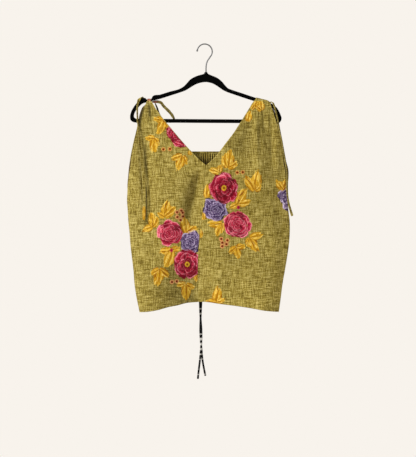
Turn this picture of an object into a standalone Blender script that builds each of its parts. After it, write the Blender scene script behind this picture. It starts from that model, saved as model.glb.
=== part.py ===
# Embroidered tank top with tied shoulders, hung on a velvet hanger.
#
# The cloth hangs in two layers from the hanger's arms. Each panel is a thin wall on a surface
# y = depth(x, z): a lens between its side edges, which opens below the shoulders, with folds,
# and with gathers under the back neck. The outlines are short tables, read as smooth curves.
# Lengths are in millimetres and are turned into metres when a mesh is made.
# +X is to the right seen from the front, the front faces -Y, and z = 0 is where the hook hangs.

import math

import bmesh
import bpy
import numpy as np

MM = 0.001

# Driving sizes
WALL = 1.2  # cloth
SEAM_GAP = 0.35  # between the cloth pieces
CLOTH_TO_ARM = 4.6  # from the hanger's middle plane to the middle of the cloth beside it
SEAM_HALF_GAP = 0.8  # middle of the cloth from y = 0, along the side seams
NECK_POINT_Z = -354.0
ARMHOLE_BOTTOM_Z = -456.0
HEM_Z = -754.0  # at the hem's highest point
HEM_EASE_Z = -560.0  # above this height the hem's curve no longer shows in the cloth's rows
CASING_TOP_Z = -312.6
CASING_HEIGHT = 8.0
CASING_THICKNESS = 3.0
CASING_HALF_WIDTH = 60.0
STRAP_FROM_X = -171.2  # the left shoulder's strap, in the hanger's notch
STRAP_TO_X = -161.4
STRAP_FRONT_Z = -166.0  # the front's narrow left top
STRAP_BACK_Z = -169.5  # the left shoulder seam behind the hanger
SADDLE_FROM_X = 146.7  # the right shoulder, where it lies over the hanger
SADDLE_TO_X = 189.4
SHOULDER_SEAM_DROP = 13.0  # right shoulder seam, below the saddle's ridge, at the back
STRAP_RIDGE_Z = -158.8  # middle of the strap's cloth, over the hanger
GATHERS = 18
GATHER_RISE = 1.8
GATHERED_HALF_WIDTH = 60.4  # of the back's gathered part, under the casing
GATHERED_SPREAD = 14.0  # how much further it reaches on each side at the hem
GATHER_FADE_ENDS = 1 / 24  # share of that width over which the last gathers flatten
HANGER_THICKNESS = 5.5
HANGER_CHAMFER = 1.3
WIRE_DIAMETER = 3.8
HOOK_RADIUS = 22.1  # to the wire's middle
HOOK_CENTRE = (-3.2, -20.2)  # x and z
STRING_DIAMETER = 4.8
TIE_WIDTH = 8.5
TIE_THICKNESS = 1.6

# Cells in the cloth's grids
FRONT_COLUMNS = 20
FRONT_LOWER_ROWS = 19
FRONT_UPPER_ROWS = 12
SIDE_COLUMNS = 8
SADDLE_ROWS = 7


class Table:
    """Rows of named columns, read as smooth curves over the first column."""

    def __init__(self, columns, *rows):
        values = np.array(sorted(rows), float)
        self.key = values[:, 0]
        self.column = {name: values[:, i] for i, name in enumerate(columns.split())}

    def at(self, name, where):
        """A cubic curve through the rows, whose slope at a row is that of its neighbours."""
        where = np.clip(np.asarray(where, float), self.key[0], self.key[-1])
        rows = self.column[name]
        slopes = np.gradient(rows, self.key)
        low = np.clip(np.searchsorted(self.key, where) - 1, 0, len(self.key) - 2)
        step = self.key[low + 1] - self.key[low]
        s = (where - self.key[low]) / step
        start = (1 + 2 * s) * (1 - s) ** 2 * rows[low] + s * (1 - s) ** 2 * step * slopes[low]
        end = s**2 * (3 - 2 * s) * rows[low + 1] + s**2 * (s - 1) * step * slopes[low + 1]
        return start + end


# The cloth's outer edges seen from the front, at each height
OUTLINE = Table(
    "z left right",
    (-150, -168, 185),
    (-174, -181, 193),
    (-187, -188, 200.5),
    (-200, -193, 206),
    (-230, -199.5, 216),
    (-256, -205, 219),
    (-280, -211, 221),
    (-303, -216, 226),
    (-329, -221, 232),
    (-349, -224, 238),
    (-364, -226, 242),
    (-387, -228, 243),
    (-410, -230, 241),
    (-430, -230, 239),
    (-456, -231, 241),
    (-484, -229, 242),
    (-519, -227, 246),
    (-557, -223, 246),
    (-584, -221, 244),
    (-620, -217, 239),
    (-662, -212, 232),
    (-702, -209, 225),
    (-741, -203, 220),
    (-785, -194, 214),
)

# The front's armhole edges, which lie a little inside the back's
FRONT_ARMHOLE = Table(
    "z left right",
    (-150, -168, 184),
    (-171, -172.5, 189),
    (-187, -178.5, 195),
    (-208, -184, 201),
    (-234, -191, 210),
    (-256, -197, 216),
    (-280, -204, 219),
    (-309, -212, 224),
    (-353, -220, 229),
    (-366, -222, 232),
    (-387, -225, 235),
    (-412, -228, 236),
    (-437, -230, 238),
    (-456, -231, 241),
)

# The front's neck edges, down to the point of the V
FRONT_NECK = Table(
    "z left right",
    (-150, -171, 154),
    (-159, -165, 147.5),
    (-170, -157, 138.5),
    (-189, -146, 126.5),
    (-205, -134, 116.5),
    (-222, -121.5, 106),
    (-239, -107, 95),
    (-262, -88, 80),
    (-290, -64, 58.5),
    (-314, -42, 40.5),
    (-340, -17, 17.5),
    (-354, 1, 1),
)

# The centre-front seam
FRONT_SEAM = Table(
    "z x",
    (-354, 1),
    (-390, -2),
    (-426, -6),
    (-500, -11),
    (-559, -18),
    (-632, -22),
    (-785, -23),
)

# The back's neck edges, above the casing's ends
BACK_NECK = Table(
    "z left right",
    (-150, -170, 150),
    (-168, -163, 146),
    (-205, -141, 124),
    (-262, -102, 88),
    (-300, -70, 69),
    (-312, -61.5, 61.5),
    (-321, -60.4, 60.4),
)

# The hem's lower edge
HEM = Table(
    "x z",
    (-235, -787),
    (-194, -785),
    (-173, -784),
    (-142, -779),
    (-110, -770),
    (-84, -765),
    (-58, -758),
    (-29, -755),
    (-3, -754),
    (42, -760),
    (82, -765),
    (140, -774),
    (166, -779),
    (214, -784),
    (250, -785),
)

# The middle of the cloth where it lies over the hanger's right arm
SADDLE = Table(
    "x z",
    (140, -153.6),
    (148, -155.4),
    (156, -157),
    (164, -159.2),
    (172, -161),
    (180, -163.2),
    (185, -166),
    (189.5, -169.6),
    (194, -173.6),
)

# How far the front and the back stand out at mid-width
DEPTH = Table(
    "z front back",
    (-150, 0, 0),
    (-165, 0, 0),
    (-200, 3, 2.5),
    (-260, 10, 7),
    (-320, 18, 12),
    (-390, 26, 19),
    (-456, 32, 24),
    (-600, 36, 28),
    (-700, 35, 27),
    (-790, 33, 25),
)

# Folds: from one point to another, half the width on the side of smaller x and on the other, and
# the rise (below nothing for a valley)
FRONT_FOLDS = (
    # x0, z0, x1, z1, half width left, half width right, rise
    (-186, -232, -172, -520, 11, 20, -8.0),
    (-18, -374, -52, -545, 16, 34, -19.0),
    (-40, -430, -66, -590, 22, 26, -7.0),
    (-80, -630, -108, -860, 15, 60, -13.0),
    (-28, -620, -28, -900, 24, 44, -15.0),
    (150, -160, 172, -410, 14, 24, 9.0),
    (207, -200, 212, -385, 10, 9, 4.5),
    (112, -214, 34, -322, 11, 24, 7.5),
    (228, -350, 232, -680, 32, 12, -6.0),
    (-150, -250, -130, -470, 24, 24, 2.5),
    (60, -470, 42, -700, 28, 28, 2.5),
    (172, -500, 176, -900, 55, 40, 12.0),
)
BACK_FOLDS = (
    # x0, z0, x1, z1, half width left, half width right, rise
    (-168, -190, -160, -420, 13, 13, -2.5),
    (-110, -300, -125, -560, 20, 20, 3.0),
    (-40, -420, -75, -700, 22, 22, -2.5),
    (48, -430, 80, -690, 22, 22, -2.5),
    (112, -300, 130, -600, 20, 20, 3.0),
    (170, -200, 178, -420, 13, 13, -2.5),
    (8, -480, 4, -740, 26, 26, 2.5),
    (-150, -600, -160, -780, 18, 18, -3.0),
    (158, -610, 150, -780, 18, 18, -3.0),
)
LEAST_ROOM = 0.2  # the least that a valley may sink
ROOM_OFF_EDGE = 0.3  # how far a valley stays in front of the side seams

# How far down the gathers reach, and how many columns still draw them there
GATHER_FADE = Table("z share", (-300, 0), (-321, 0.45), (-328, 1), (-345, 0.85), (-372, 0.35), (-410, 0))
BACK_ROWS = (
    # height, columns between the side blocks
    (-321.0, 72),
    (-325.0, 72),
    (-331.0, 72),
    (-340.0, 72),
    (-351.0, 36),
    (-364.0, 36),
    (-380.0, 18),
    (-400.0, 18),
    (-424.0, 6),
    (-450.0, 6),
    (-456.0, 6),
    (-480.0, 6),
    (-506.0, 6),
    (-532.0, 6),
    (-558.0, 6),
    (-584.0, 6),
    (-610.0, 6),
    (-636.0, 6),
    (-662.0, 6),
    (-688.0, 6),
    (-714.0, 6),
    (-736.0, 6),
    (HEM_Z, 6),
)
STRAP_ROWS = 9
LATE_FROM = 8 / 9  # share of the left strap above which its outer edge turns in to the seam

# The hanger's ring, from the top of its neck to the left arm, along the bar and up the right arm:
# points of its outer edge, and the points of its inner edge that face them
HANGER_RING = (
    # outer x, outer z, inner x, inner z
    (0.6, -80, 0.6, -110),
    (-2.9, -80, -2, -110),
    (-4.6, -84.3, -4, -110.2),
    (-9, -86.6, -8, -110.6),
    (-17, -88.7, -15, -111.8),
    (-32, -94, -28, -116),
    (-46.4, -102.8, -40, -122.6),
    (-56, -113.5, -50, -129),
    (-65, -122.5, -62, -135.5),
    (-76, -129, -75, -140.2),
    (-105, -137.4, -105, -149.8),
    (-134, -146.4, -134, -159.1),
    (-157, -152.8, -155, -164.6),
    (-160.6, -160, -158.5, -165.8),
    (-164, -160.8, -162.5, -166.6),
    (-170, -161, -168.5, -168.3),
    (-173.6, -160.4, -172, -169.2),
    (-177, -156.6, -175, -169.8),
    (-184, -156.8, -181, -171.2),
    (-191, -159, -187, -174),
    (-199, -167, -193.5, -179.5),
    (-208, -177.6, -200, -187),
    (-216, -190, -206, -195),
    (-221, -203, -210.3, -205),
    (-222.3, -213, -210.5, -211.5),
    (-220.5, -221.5, -208, -215.5),
    (-213, -227.2, -203.5, -217),
    (-203, -228.9, -198, -217.5),
    (-120, -229, -120, -217.8),
    (0, -229.8, 0, -218.6),
    (120, -230.4, 120, -219.4),
    (200, -231, 197, -220),
    (211, -230.6, 203.5, -219.6),
    (217.5, -228, 208, -217.8),
    (221.3, -222.5, 210.3, -214.5),
    (222.5, -215, 210.4, -209.5),
    (219, -204, 206.8, -202),
    (214, -193.5, 201.5, -194),
    (207.8, -184.2, 195.5, -187.5),
    (199, -176.8, 188.5, -182.5),
    (191.5, -172, 182, -179),
    (187, -169.4, 177.5, -177.2),
    (181, -166.8, 172.5, -175.2),
    (175, -165.2, 168, -173.6),
    (169.5, -165.2, 164, -172.4),
    (165, -165.4, 160.5, -171.3),
    (160.5, -163.6, 157, -170.2),
    (155.5, -159.4, 152.5, -168.9),
    (150, -157.2, 147.5, -167.4),
    (129.7, -150.2, 129.7, -162),
    (100, -140.2, 100, -152.2),
    (77, -132.6, 77, -144.4),
    (65.5, -127.9, 64.5, -140),
    (57, -119.5, 52, -134.3),
    (47.5, -108.2, 42, -127.6),
    (33, -96.9, 29, -118.8),
    (18.2, -90.5, 16.5, -112.8),
    (10, -87, 9, -111),
    (5.8, -84.4, 5, -110.3),
    (4.1, -80, 3.2, -110),
)

# The wire from the end of the hook's arc down to the hanger's neck
HOOK_ARC_START = 169.0  # degrees, at the free tip
HOOK_ARC_END = -33.0
HOOK_STEM = (
    # x, z
    (10.4, -39.4),
    (5.8, -46.2),
    (2.8, -53.2),
    (1.3, -60.5),
    (0.7, -69.0),
    (0.6, -79.6),
)

# Ribbons: the middle line, and the direction that the ribbon is wide in
LEFT_LOOP = (
    # x, y, z, width x, width y, width z
    (-139.4, 5.4, -167.4, 0.0, 0.2, 1.0),
    (-131.5, 5.2, -170.2, 0.6, 0.2, 1.0),
    (-125.0, 5.2, -178.6, 1.0, 0.2, 0.6),
    (-115.6, 5.6, -188.1, 1.0, 0.3, 0.7),
    (-106.2, 6.4, -197.5, 1.0, 0.5, 0.7),
    (-98.5, 7.6, -207.4, 1.0, 1.2, 0.5),
    (-93.4, 8.6, -217.8, 0.5, 2.0, 0.0),
    (-93.0, 9.0, -226.0, 0.1, 1.0, 0.0),
    (-98.6, 9.0, -231.0, 0.0, 1.0, 0.0),
    (-107.5, 9.0, -230.0, 0.0, 1.0, 0.0),
    (-117.6, 9.0, -222.6, 0.0, 1.0, 0.0),
    (-127.1, 9.0, -212.2, 0.0, 1.0, 0.0),
    (-136.6, 9.0, -198.7, 0.0, 1.0, 0.1),
    (-143.0, 8.6, -185.4, 0.0, 1.0, 0.1),
    (-148.0, 7.0, -171.3, 0.0, 1.0, 0.1),
)
LEFT_TAIL = (
    (-159.4, 5.8, -167.4, 0.0, 0.0, 1.0),
    (-168.0, 8.0, -166.8, 0.0, 0.1, 1.0),
    (-177.0, 7.8, -163.6, 0.3, 0.2, 1.0),
    (-184.0, 6.6, -158.6, 1.0, 0.4, 0.8),
    (-188.5, 4.0, -154.9, 1.0, 0.2, 0.3),
    (-191.2, 0.0, -155.6, 1.0, 0.0, 0.5),
    (-194.4, -4.9, -159.4, 0.9, 0.2, 0.6),
    (-198.4, -7.8, -168.4, 0.7, 0.7, 0.3),
    (-200.4, -8.4, -184.0, 0.6, 1.0, 0.0),
    (-200.8, -8.6, -202.0, 0.5, 1.0, 0.0),
    (-200.0, -9.0, -218.0, 0.5, 1.0, 0.0),
    (-198.6, -10.2, -234.0, 0.5, 1.0, 0.0),
    (-197.0, -12.2, -254.0, 0.6, 1.0, 0.0),
    (-193.7, -15.0, -286.0, 0.8, 0.8, 0.0),
    (-189.3, -17.6, -324.0, 1.0, 0.5, 0.0),
    (-184.3, -22.0, -368.0, 1.0, 0.3, 0.0),
    (-180.8, -25.4, -412.0, 1.0, 0.2, 0.0),
    (-179.6, -27.4, -456.0, 1.0, 0.1, 0.0),
    (-180.3, -28.6, -491.0, 1.0, 0.1, 0.0),
    (-180.8, -29.2, -517.0, 1.0, 0.1, 0.0),
)
RIGHT_TAIL = (
    (178.0, 8.0, -178.0, 0.4, 0.0, 1.0),
    (184.0, 8.4, -174.0, 0.6, 0.1, 1.0),
    (189.5, 7.4, -170.0, 0.8, 0.2, 0.8),
    (193.5, 4.4, -168.0, 1.0, 0.2, -0.3),
    (196.6, 0.0, -170.6, 1.0, 0.0, -0.6),
    (199.0, -4.6, -175.4, 0.8, 0.4, -0.6),
    (202.2, -7.6, -185.0, 0.5, 1.0, 0.0),
    (206.6, -9.2, -202.0, 0.5, 1.0, 0.0),
    (211.4, -11.2, -224.0, 0.5, 1.0, 0.0),
    (217.2, -13.0, -256.0, 0.5, 1.0, 0.0),
    (222.2, -14.0, -281.0, 0.5, 1.0, 0.0),
    (227.2, -14.6, -309.0, 0.5, 1.0, 0.0),
    (232.4, -15.2, -338.0, 0.5, 1.0, 0.0),
    (236.8, -15.6, -368.0, 0.5, 1.0, 0.0),
    (238.6, -15.8, -397.0, 0.6, 1.0, 0.0),
    (238.6, -15.6, -426.0, 0.6, 1.0, 0.0),
    (240.2, -14.8, -450.0, 0.6, 1.0, 0.0),
    (245.4, -13.2, -476.0, 0.8, 0.8, 0.0),
    (253.4, -11.8, -503.0, 1.0, 0.6, 0.0),
)
RIBBON_STEP = 9.0
STRAP_COLUMNS = 4

# The two free ends of the drawstring: the middle between them, and half of their distance
STRINGS = Table(
    "z x apart_x apart_y",
    (-316.6, 0, 3.3, 0),
    (-360, -1, 3.3, 0),
    (-500, -6, 3.1, 0),
    (-640, -11, 3, 0),
    (-740, -15, 2.7, 1.3),
    (-790, -15.5, 0.8, 2.9),
    (-845, -14.5, -1.8, 2.5),
    (-896, -13.5, 0.9, 2.9),
    (-930, -13.5, 4, 1.4),
    (-960, -12.6, 8.5, 0.6),
    (-984, -11.5, 12, 0),
)
STRING_ENDS = {"drawstring_left": (-1, -984.0), "drawstring_right": (1, -975.0)}
STRING_EXIT_Z = -316.6
STRING_EXIT_APART = 3.3  # half the distance of the two ends, where they leave the casing
STRING_EXIT_REACH = 3.4  # straight out of the casing before they turn down
STRING_TOP_Z = -323.0  # where they hang freely
STRING_STEP = 12.5
STRING_CLEARANCE = 1.6  # off the back panel, past its folds

KNOT_CENTRE = (-149.4, 5.6, -167.6)
KNOT_RADII = (10.0, 2.9, 3.1)
KNOT_PINCH = 0.12  # how much the knot swells and narrows along its length
CASING_CHAMFER = 1.0
CASING_SECTIONS = 25
HOOK_ARC_POINTS = 22
HOOK_TIP = (
    # how far past the arc's end, and the wire's thickness there
    (4.4, 0.55),
    (3.6, 1.2),
    (1.8, 1.4),
    (0.0, 1.2),
)


def edge_blend(z):
    """Distance of the panels' edges from y = 0: full at the armholes, small at the side seams."""
    s = np.clip((ARMHOLE_BOTTOM_Z - np.asarray(z, float)) / -60.0, 0, 1)
    s = s * s * (3 - 2 * s)
    return SEAM_HALF_GAP + (CLOTH_TO_ARM - SEAM_HALF_GAP) * s


def folds_at(folds, x, z):
    """Sum of soft ridges: a bell across each fold's line, faded at the line's two ends."""
    total = np.zeros(np.broadcast(x, z).shape)
    for x0, z0, x1, z1, half_left, half_right, rise in folds:
        length = math.hypot(x1 - x0, z1 - z0)
        along_x = (x1 - x0) / length
        along_z = (z1 - z0) / length
        along = (x - x0) * along_x + (z - z0) * along_z
        across = (x - x0) * along_z - (z - z0) * along_x
        inside = np.clip(np.minimum(along, length - along) / (0.35 * length) + 0.3, 0, 1)
        half_width = np.where(across > 0, half_left, half_right)
        total = total + rise * inside**2 * (3 - 2 * inside) * np.exp(-((across / half_width) ** 2))
    return total


def cloth_y(side, x, z):
    """Middle of the front or back cloth: a lens between the outline's edges, and its folds.

    A valley is room * tanh(valley / room) deep, so it never reaches the hanger behind the cloth.
    """
    x = np.asarray(x, float)
    z = np.asarray(z, float)
    left = OUTLINE.at("left", z)
    right = OUTLINE.at("right", z)
    t = np.clip((2 * x - left - right) / (right - left), -1, 1)
    lens = (1 - t * t) ** 0.7
    folds = folds_at(FRONT_FOLDS if side == "front" else BACK_FOLDS, x, z)
    settled = np.clip(lens / 0.5, 0, 1) * np.clip((-165 - z) / 40, 0, 1)
    plain = edge_blend(z) * (1 - lens) + (CLOTH_TO_ARM + DEPTH.at(side, z)) * lens
    nearest = np.minimum(edge_blend(z) + ROOM_OFF_EDGE, CLOTH_TO_ARM)
    room = np.maximum(plain - nearest, LEAST_ROOM)
    depth = plain + np.where(folds < 0, -room * np.tanh(-folds * settled / room), folds * settled)
    return -depth if side == "front" else depth


def with_hem(x, z):
    """Heights of a row's points: the lower rows bend down to the hem's curve."""
    share = np.clip((HEM_EASE_Z - z) / (HEM_EASE_Z - HEM_Z), 0, 1) ** 2
    return z + (HEM.at("z", x) - HEM_Z) * share


def outer_edge(side, name, z):
    """The panel's outer edge: the front's own armhole above the side seam, else the outline."""
    if side == "front" and z > ARMHOLE_BOTTOM_Z:
        return float(FRONT_ARMHOLE.at(name, z))
    return float(OUTLINE.at(name, z))


def edge_spaced(count):
    """Shares from 0 to 1 that stand closer near 1, where the cloth turns round the side."""
    even = np.arange(count + 1) / count
    return 0.6 * even + 0.4 * np.sin(0.5 * math.pi * even)


class Sheet:
    """An open surface of rows of points, to be given its wall by Solidify."""

    def __init__(self):
        self.points = []
        self.faces = []

    def add_row(self, x, y, z):
        first = len(self.points)
        x, y, z = np.broadcast_arrays(x, y, z)
        self.points.extend(zip(x.tolist(), y.tolist(), z.tolist()))
        return list(range(first, len(self.points)))

    def bridge(self, lower, upper):
        """Faces between two rows: squares, or fans where one row has a multiple of the cells."""
        if len(lower) == len(upper):
            for i in range(len(lower) - 1):
                self.faces.append((lower[i], lower[i + 1], upper[i + 1], upper[i]))
            return
        fine_is_lower = len(lower) > len(upper)
        fine, coarse = (lower, upper) if fine_is_lower else (upper, lower)
        ratio = (len(fine) - 1) // (len(coarse) - 1)
        for i in range(len(coarse) - 1):
            a, b = coarse[i], coarse[i + 1]
            part = fine[i * ratio : (i + 1) * ratio + 1]
            middle = ratio // 2
            fans = [(part[j], part[j + 1], a if j < middle else b) for j in range(ratio)]
            fans.append((part[middle], b, a))
            for face in fans:
                self.faces.append(face if fine_is_lower else face[::-1])

    def make(self, name, material, flip):
        faces = [face[::-1] for face in self.faces] if flip else self.faces
        mesh = bpy.data.meshes.new(name)
        mesh.from_pydata((np.array(self.points) * MM).tolist(), [], faces)
        piece = add_object(name, mesh, material)
        wall = piece.modifiers.new("wall", "SOLIDIFY")
        wall.thickness = WALL * MM
        wall.offset = 0.0
        wall.use_even_offset = False
        return piece


def add_object(name, data, material):
    piece = bpy.data.objects.new(name, data)
    data.materials.append(material)
    collection.objects.link(piece)
    return piece


def make_material(name, colour, roughness, metallic=0.0):
    material = bpy.data.materials.new(name)
    material.use_nodes = True
    shader = material.node_tree.nodes["Principled BSDF"]
    shader.inputs["Base Color"].default_value = (*colour, 1.0)
    shader.inputs["Roughness"].default_value = roughness
    shader.inputs["Metallic"].default_value = metallic
    return material


def make_front(side, material):
    """A half of the front, from the hem to the shoulder, between the middle and the side."""
    sheet = Sheet()
    share = edge_spaced(FRONT_COLUMNS)
    towards_seam = -0.5 * SEAM_GAP if side == "left" else 0.5 * SEAM_GAP
    rows = []
    for z in np.linspace(HEM_Z, NECK_POINT_Z, FRONT_LOWER_ROWS + 1):
        inner = float(FRONT_SEAM.at("x", z)) + towards_seam
        outer = outer_edge("front", side, float(with_hem(outer_edge("front", side, z), z)))
        x = inner + (outer - inner) * share
        row_z = with_hem(x, np.full_like(x, z))
        rows.append(sheet.add_row(x, cloth_y("front", x, row_z), row_z))
    inner_top = outer_top = STRAP_FRONT_Z
    if side == "right":
        inner_top = float(SADDLE.at("z", SADDLE_FROM_X)) - CLOTH_TO_ARM
        outer_top = float(SADDLE.at("z", SADDLE_TO_X)) - CLOTH_TO_ARM
    for step in range(1, FRONT_UPPER_ROWS + 1):
        s = step / FRONT_UPPER_ROWS
        inner_z = NECK_POINT_Z + (inner_top - NECK_POINT_Z) * s
        outer_z = NECK_POINT_Z + (outer_top - NECK_POINT_Z) * s
        inner = float(FRONT_NECK.at(side, inner_z)) + towards_seam * (1 - s)
        outer = outer_edge("front", side, outer_z)
        x = inner + (outer - inner) * share
        z = inner_z + (outer_z - inner_z) * share
        if side == "right":
            straight = inner_top + (outer_top - inner_top) * share
            z = z + (SADDLE.at("z", x) - CLOTH_TO_ARM - straight) * s**3
        rows.append(sheet.add_row(x, cloth_y("front", x, z), z))
    if side == "right":
        top_x = np.array([sheet.points[i][0] for i in rows[-1]])
        ridge = SADDLE.at("z", top_x)
        for step in range(1, SADDLE_ROWS):
            angle = math.pi * step / (SADDLE_ROWS - 1)
            y = np.full_like(top_x, -CLOTH_TO_ARM * math.cos(angle))
            rows.append(sheet.add_row(top_x, y, ridge - CLOTH_TO_ARM * (1 - math.sin(angle))))
        rows.append(sheet.add_row(top_x, CLOTH_TO_ARM, ridge - SHOULDER_SEAM_DROP))
    for lower, upper in zip(rows, rows[1:]):
        sheet.bridge(lower, upper)
    return sheet.make(f"front_{side}", material, flip=side == "left")


def make_back(material):
    """The whole back: gathers between two plain side blocks, and a strap up to each shoulder."""
    sheet = Sheet()
    rows = []
    for z, columns in BACK_ROWS:
        spread = (CASING_TOP_Z - CASING_HEIGHT - z) / (CASING_TOP_Z - CASING_HEIGHT - HEM_Z)
        left_hem = float(with_hem(outer_edge("back", "left", z), z))
        right_hem = float(with_hem(outer_edge("back", "right", z), z))
        left = outer_edge("back", "left", left_hem)
        right = outer_edge("back", "right", right_hem)
        inner_right = GATHERED_HALF_WIDTH + GATHERED_SPREAD * max(spread, 0)
        inner_left = -inner_right
        side = edge_spaced(SIDE_COLUMNS)
        left_x = (inner_left + (left - inner_left) * side)[::-1]
        middle_x = np.linspace(inner_left, inner_right, columns + 1)
        right_x = inner_right + (right - inner_right) * side
        x = np.concatenate([left_x[:-1], middle_x, right_x[1:]])
        row_z = with_hem(x, np.full_like(x, z))
        phase = (x - inner_left) / (inner_right - inner_left)
        inside = (phase > 0) & (phase < 1)
        wave = np.where(inside, np.cos(2 * math.pi * GATHERS * phase), 0)
        ends = np.clip(np.minimum(phase, 1 - phase) / GATHER_FADE_ENDS, 0, 1)
        gathers = GATHER_RISE * GATHER_FADE.at("share", row_z) * wave * ends
        rows.append(sheet.add_row(x, cloth_y("back", x, row_z) + gathers, row_z))
    n = SIDE_COLUMNS
    for upper, lower in zip(rows, rows[1:]):
        sheet.bridge(lower[: n + 1], upper[: n + 1])
        sheet.bridge(lower[n : len(lower) - n], upper[n : len(upper) - n])
        sheet.bridge(lower[-n - 1 :], upper[-n - 1 :])
    for side in ("left", "right"):
        below = rows[0][: n + 1][::-1] if side == "left" else rows[0][-n - 1 :]
        start_z = BACK_ROWS[0][0]
        inner_top = outer_top = STRAP_BACK_Z
        inner_top_x, outer_top_x = STRAP_TO_X, STRAP_FROM_X
        if side == "right":
            inner_top_x, outer_top_x = SADDLE_FROM_X, SADDLE_TO_X
            seam_drop = SHOULDER_SEAM_DROP + SEAM_GAP
            inner_top = float(SADDLE.at("z", inner_top_x)) - seam_drop
            outer_top = float(SADDLE.at("z", outer_top_x)) - seam_drop
        for step in range(1, STRAP_ROWS + 1):
            s = step / STRAP_ROWS
            inner_z = start_z + (inner_top - start_z) * s
            outer_z = start_z + (outer_top - start_z) * s
            inner = float(BACK_NECK.at(side, inner_z))
            inner += (inner_top_x - float(BACK_NECK.at(side, inner_top))) * s**3
            outer = outer_edge("back", side, outer_z)
            late = max(0, (s - LATE_FROM) / (1 - LATE_FROM)) if side == "left" else s**3
            outer += (outer_top_x - outer_edge("back", side, outer_top)) * late
            share = edge_spaced(n)
            x = inner + (outer - inner) * share
            z = inner_z + (outer_z - inner_z) * share
            if side == "right":
                straight = inner_top + (outer_top - inner_top) * share
                z = z + (SADDLE.at("z", x) - seam_drop - straight) * s**3
            above = sheet.add_row(x, cloth_y("back", x, z), z)
            if side == "left":
                sheet.bridge(below[::-1], above[::-1])
            else:
                sheet.bridge(below, above)
            below = above
    return sheet.make("back_panel", material, flip=True)


def make_loft(name, sections, material, closed):
    """A closed body through rings of points; a closed loft joins its last ring to its first."""
    points = []
    faces = []
    count = len(sections[0])
    for section in sections:
        points.extend(section)
    spans = len(sections) if closed else len(sections) - 1
    for i in range(spans):
        here = i * count
        there = ((i + 1) % len(sections)) * count
        for j in range(count):
            k = (j + 1) % count
            faces.append((here + j, here + k, there + k, there + j))
    if not closed:
        faces.append(tuple(range(count))[::-1])
        last = (len(sections) - 1) * count
        faces.append(tuple(range(last, last + count)))
    mesh = bpy.data.meshes.new(name)
    mesh.from_pydata((np.array(points, float) * MM).tolist(), [], faces)
    body = bmesh.new()
    body.from_mesh(mesh)
    bmesh.ops.recalc_face_normals(body, faces=body.faces)
    body.to_mesh(mesh)
    body.free()
    return add_object(name, mesh, material)


def make_hanger_frame(material):
    """The hanger's ring: a chamfered flat section between facing outer and inner points."""
    half = HANGER_THICKNESS / 2
    cut = HANGER_CHAMFER
    sections = []
    for outer_x, outer_z, inner_x, inner_z in HANGER_RING:
        outer = np.array((outer_x, outer_z), float)
        inner = np.array((inner_x, inner_z), float)
        width = np.linalg.norm(inner - outer)
        across = (inner - outer) / width
        profile = (
            (0, half - cut),
            (cut, half),
            (width - cut, half),
            (width, half - cut),
            (width, cut - half),
            (width - cut, -half),
            (cut, -half),
            (0, cut - half),
        )
        sections.append([(*(outer + across * a)[:1], y, (outer + across * a)[1]) for a, y in profile])
    return make_loft("hanger_frame", sections, material, closed=True)


def make_tube(name, points, diameter, material, radii=None):
    """A round tube along hand-set points, as a bevelled curve with closed ends."""
    curve = bpy.data.curves.new(name, "CURVE")
    curve.dimensions = "3D"
    curve.bevel_depth = 0.5 * diameter * MM
    curve.bevel_resolution = 2
    curve.use_fill_caps = True
    spline = curve.splines.new("POLY")
    spline.points.add(len(points) - 1)
    for i, (x, y, z) in enumerate(points):
        spline.points[i].co = (x * MM, y * MM, z * MM, 1.0)
        spline.points[i].radius = 1.0 if radii is None else radii[i]
    return add_object(name, curve, material)


def make_hook(material):
    """The wire hook: a round arc, then the stem; its tip is thickened to a small round end."""
    arc = np.radians(np.linspace(HOOK_ARC_START, HOOK_ARC_END, HOOK_ARC_POINTS))
    centre_x, centre_z = HOOK_CENTRE
    arc_points = [(centre_x + HOOK_RADIUS * math.cos(a), centre_z + HOOK_RADIUS * math.sin(a)) for a in arc]
    tip_x, tip_z = arc_points[0]
    forward_x, forward_z = -math.sin(arc[0]), math.cos(arc[0])
    tip = [(tip_x + forward_x * past, tip_z + forward_z * past) for past, _ in HOOK_TIP]
    wire = tip + arc_points[1:] + list(HOOK_STEM)
    radii = [thickness for _, thickness in HOOK_TIP] + [1.0] * (len(wire) - len(HOOK_TIP))
    return make_tube("hanger_hook", [(x, 0.0, z) for x, z in wire], WIRE_DIAMETER, material, radii)


def curve_through(rows, step):
    """Points and width directions along a smooth curve through a table's rows."""
    rows = np.array(rows, float)
    chord = np.concatenate([[0], np.cumsum(np.linalg.norm(np.diff(rows[:, :3], axis=0), axis=1))])
    table = Table("at x y z wx wy wz", *np.column_stack([chord, rows]).tolist())
    where = np.linspace(0, chord[-1], max(2, round(chord[-1] / step)) + 1)
    line = np.column_stack([table.at(name, where) for name in "xyz"])
    width = np.column_stack([table.at(name, where) for name in ("wx", "wy", "wz")])
    tangent = np.gradient(line, axis=0)
    tangent /= np.linalg.norm(tangent, axis=1)[:, None]
    width -= tangent * np.sum(width * tangent, axis=1)[:, None]
    width /= np.linalg.norm(width, axis=1)[:, None]
    return line, width, np.cross(tangent, width)


def make_ribbon(name, rows, material):
    """A flat ribbon of cloth along a smooth curve."""
    line, width, normal = curve_through(rows, RIBBON_STEP)
    w = 0.5 * TIE_WIDTH * width
    n = 0.5 * TIE_THICKNESS * normal
    sections = [[p - a - b, p + a - b, p + a + b, p - a + b] for p, a, b in zip(line, w, n)]
    return make_loft(name, sections, material, closed=False)


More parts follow.
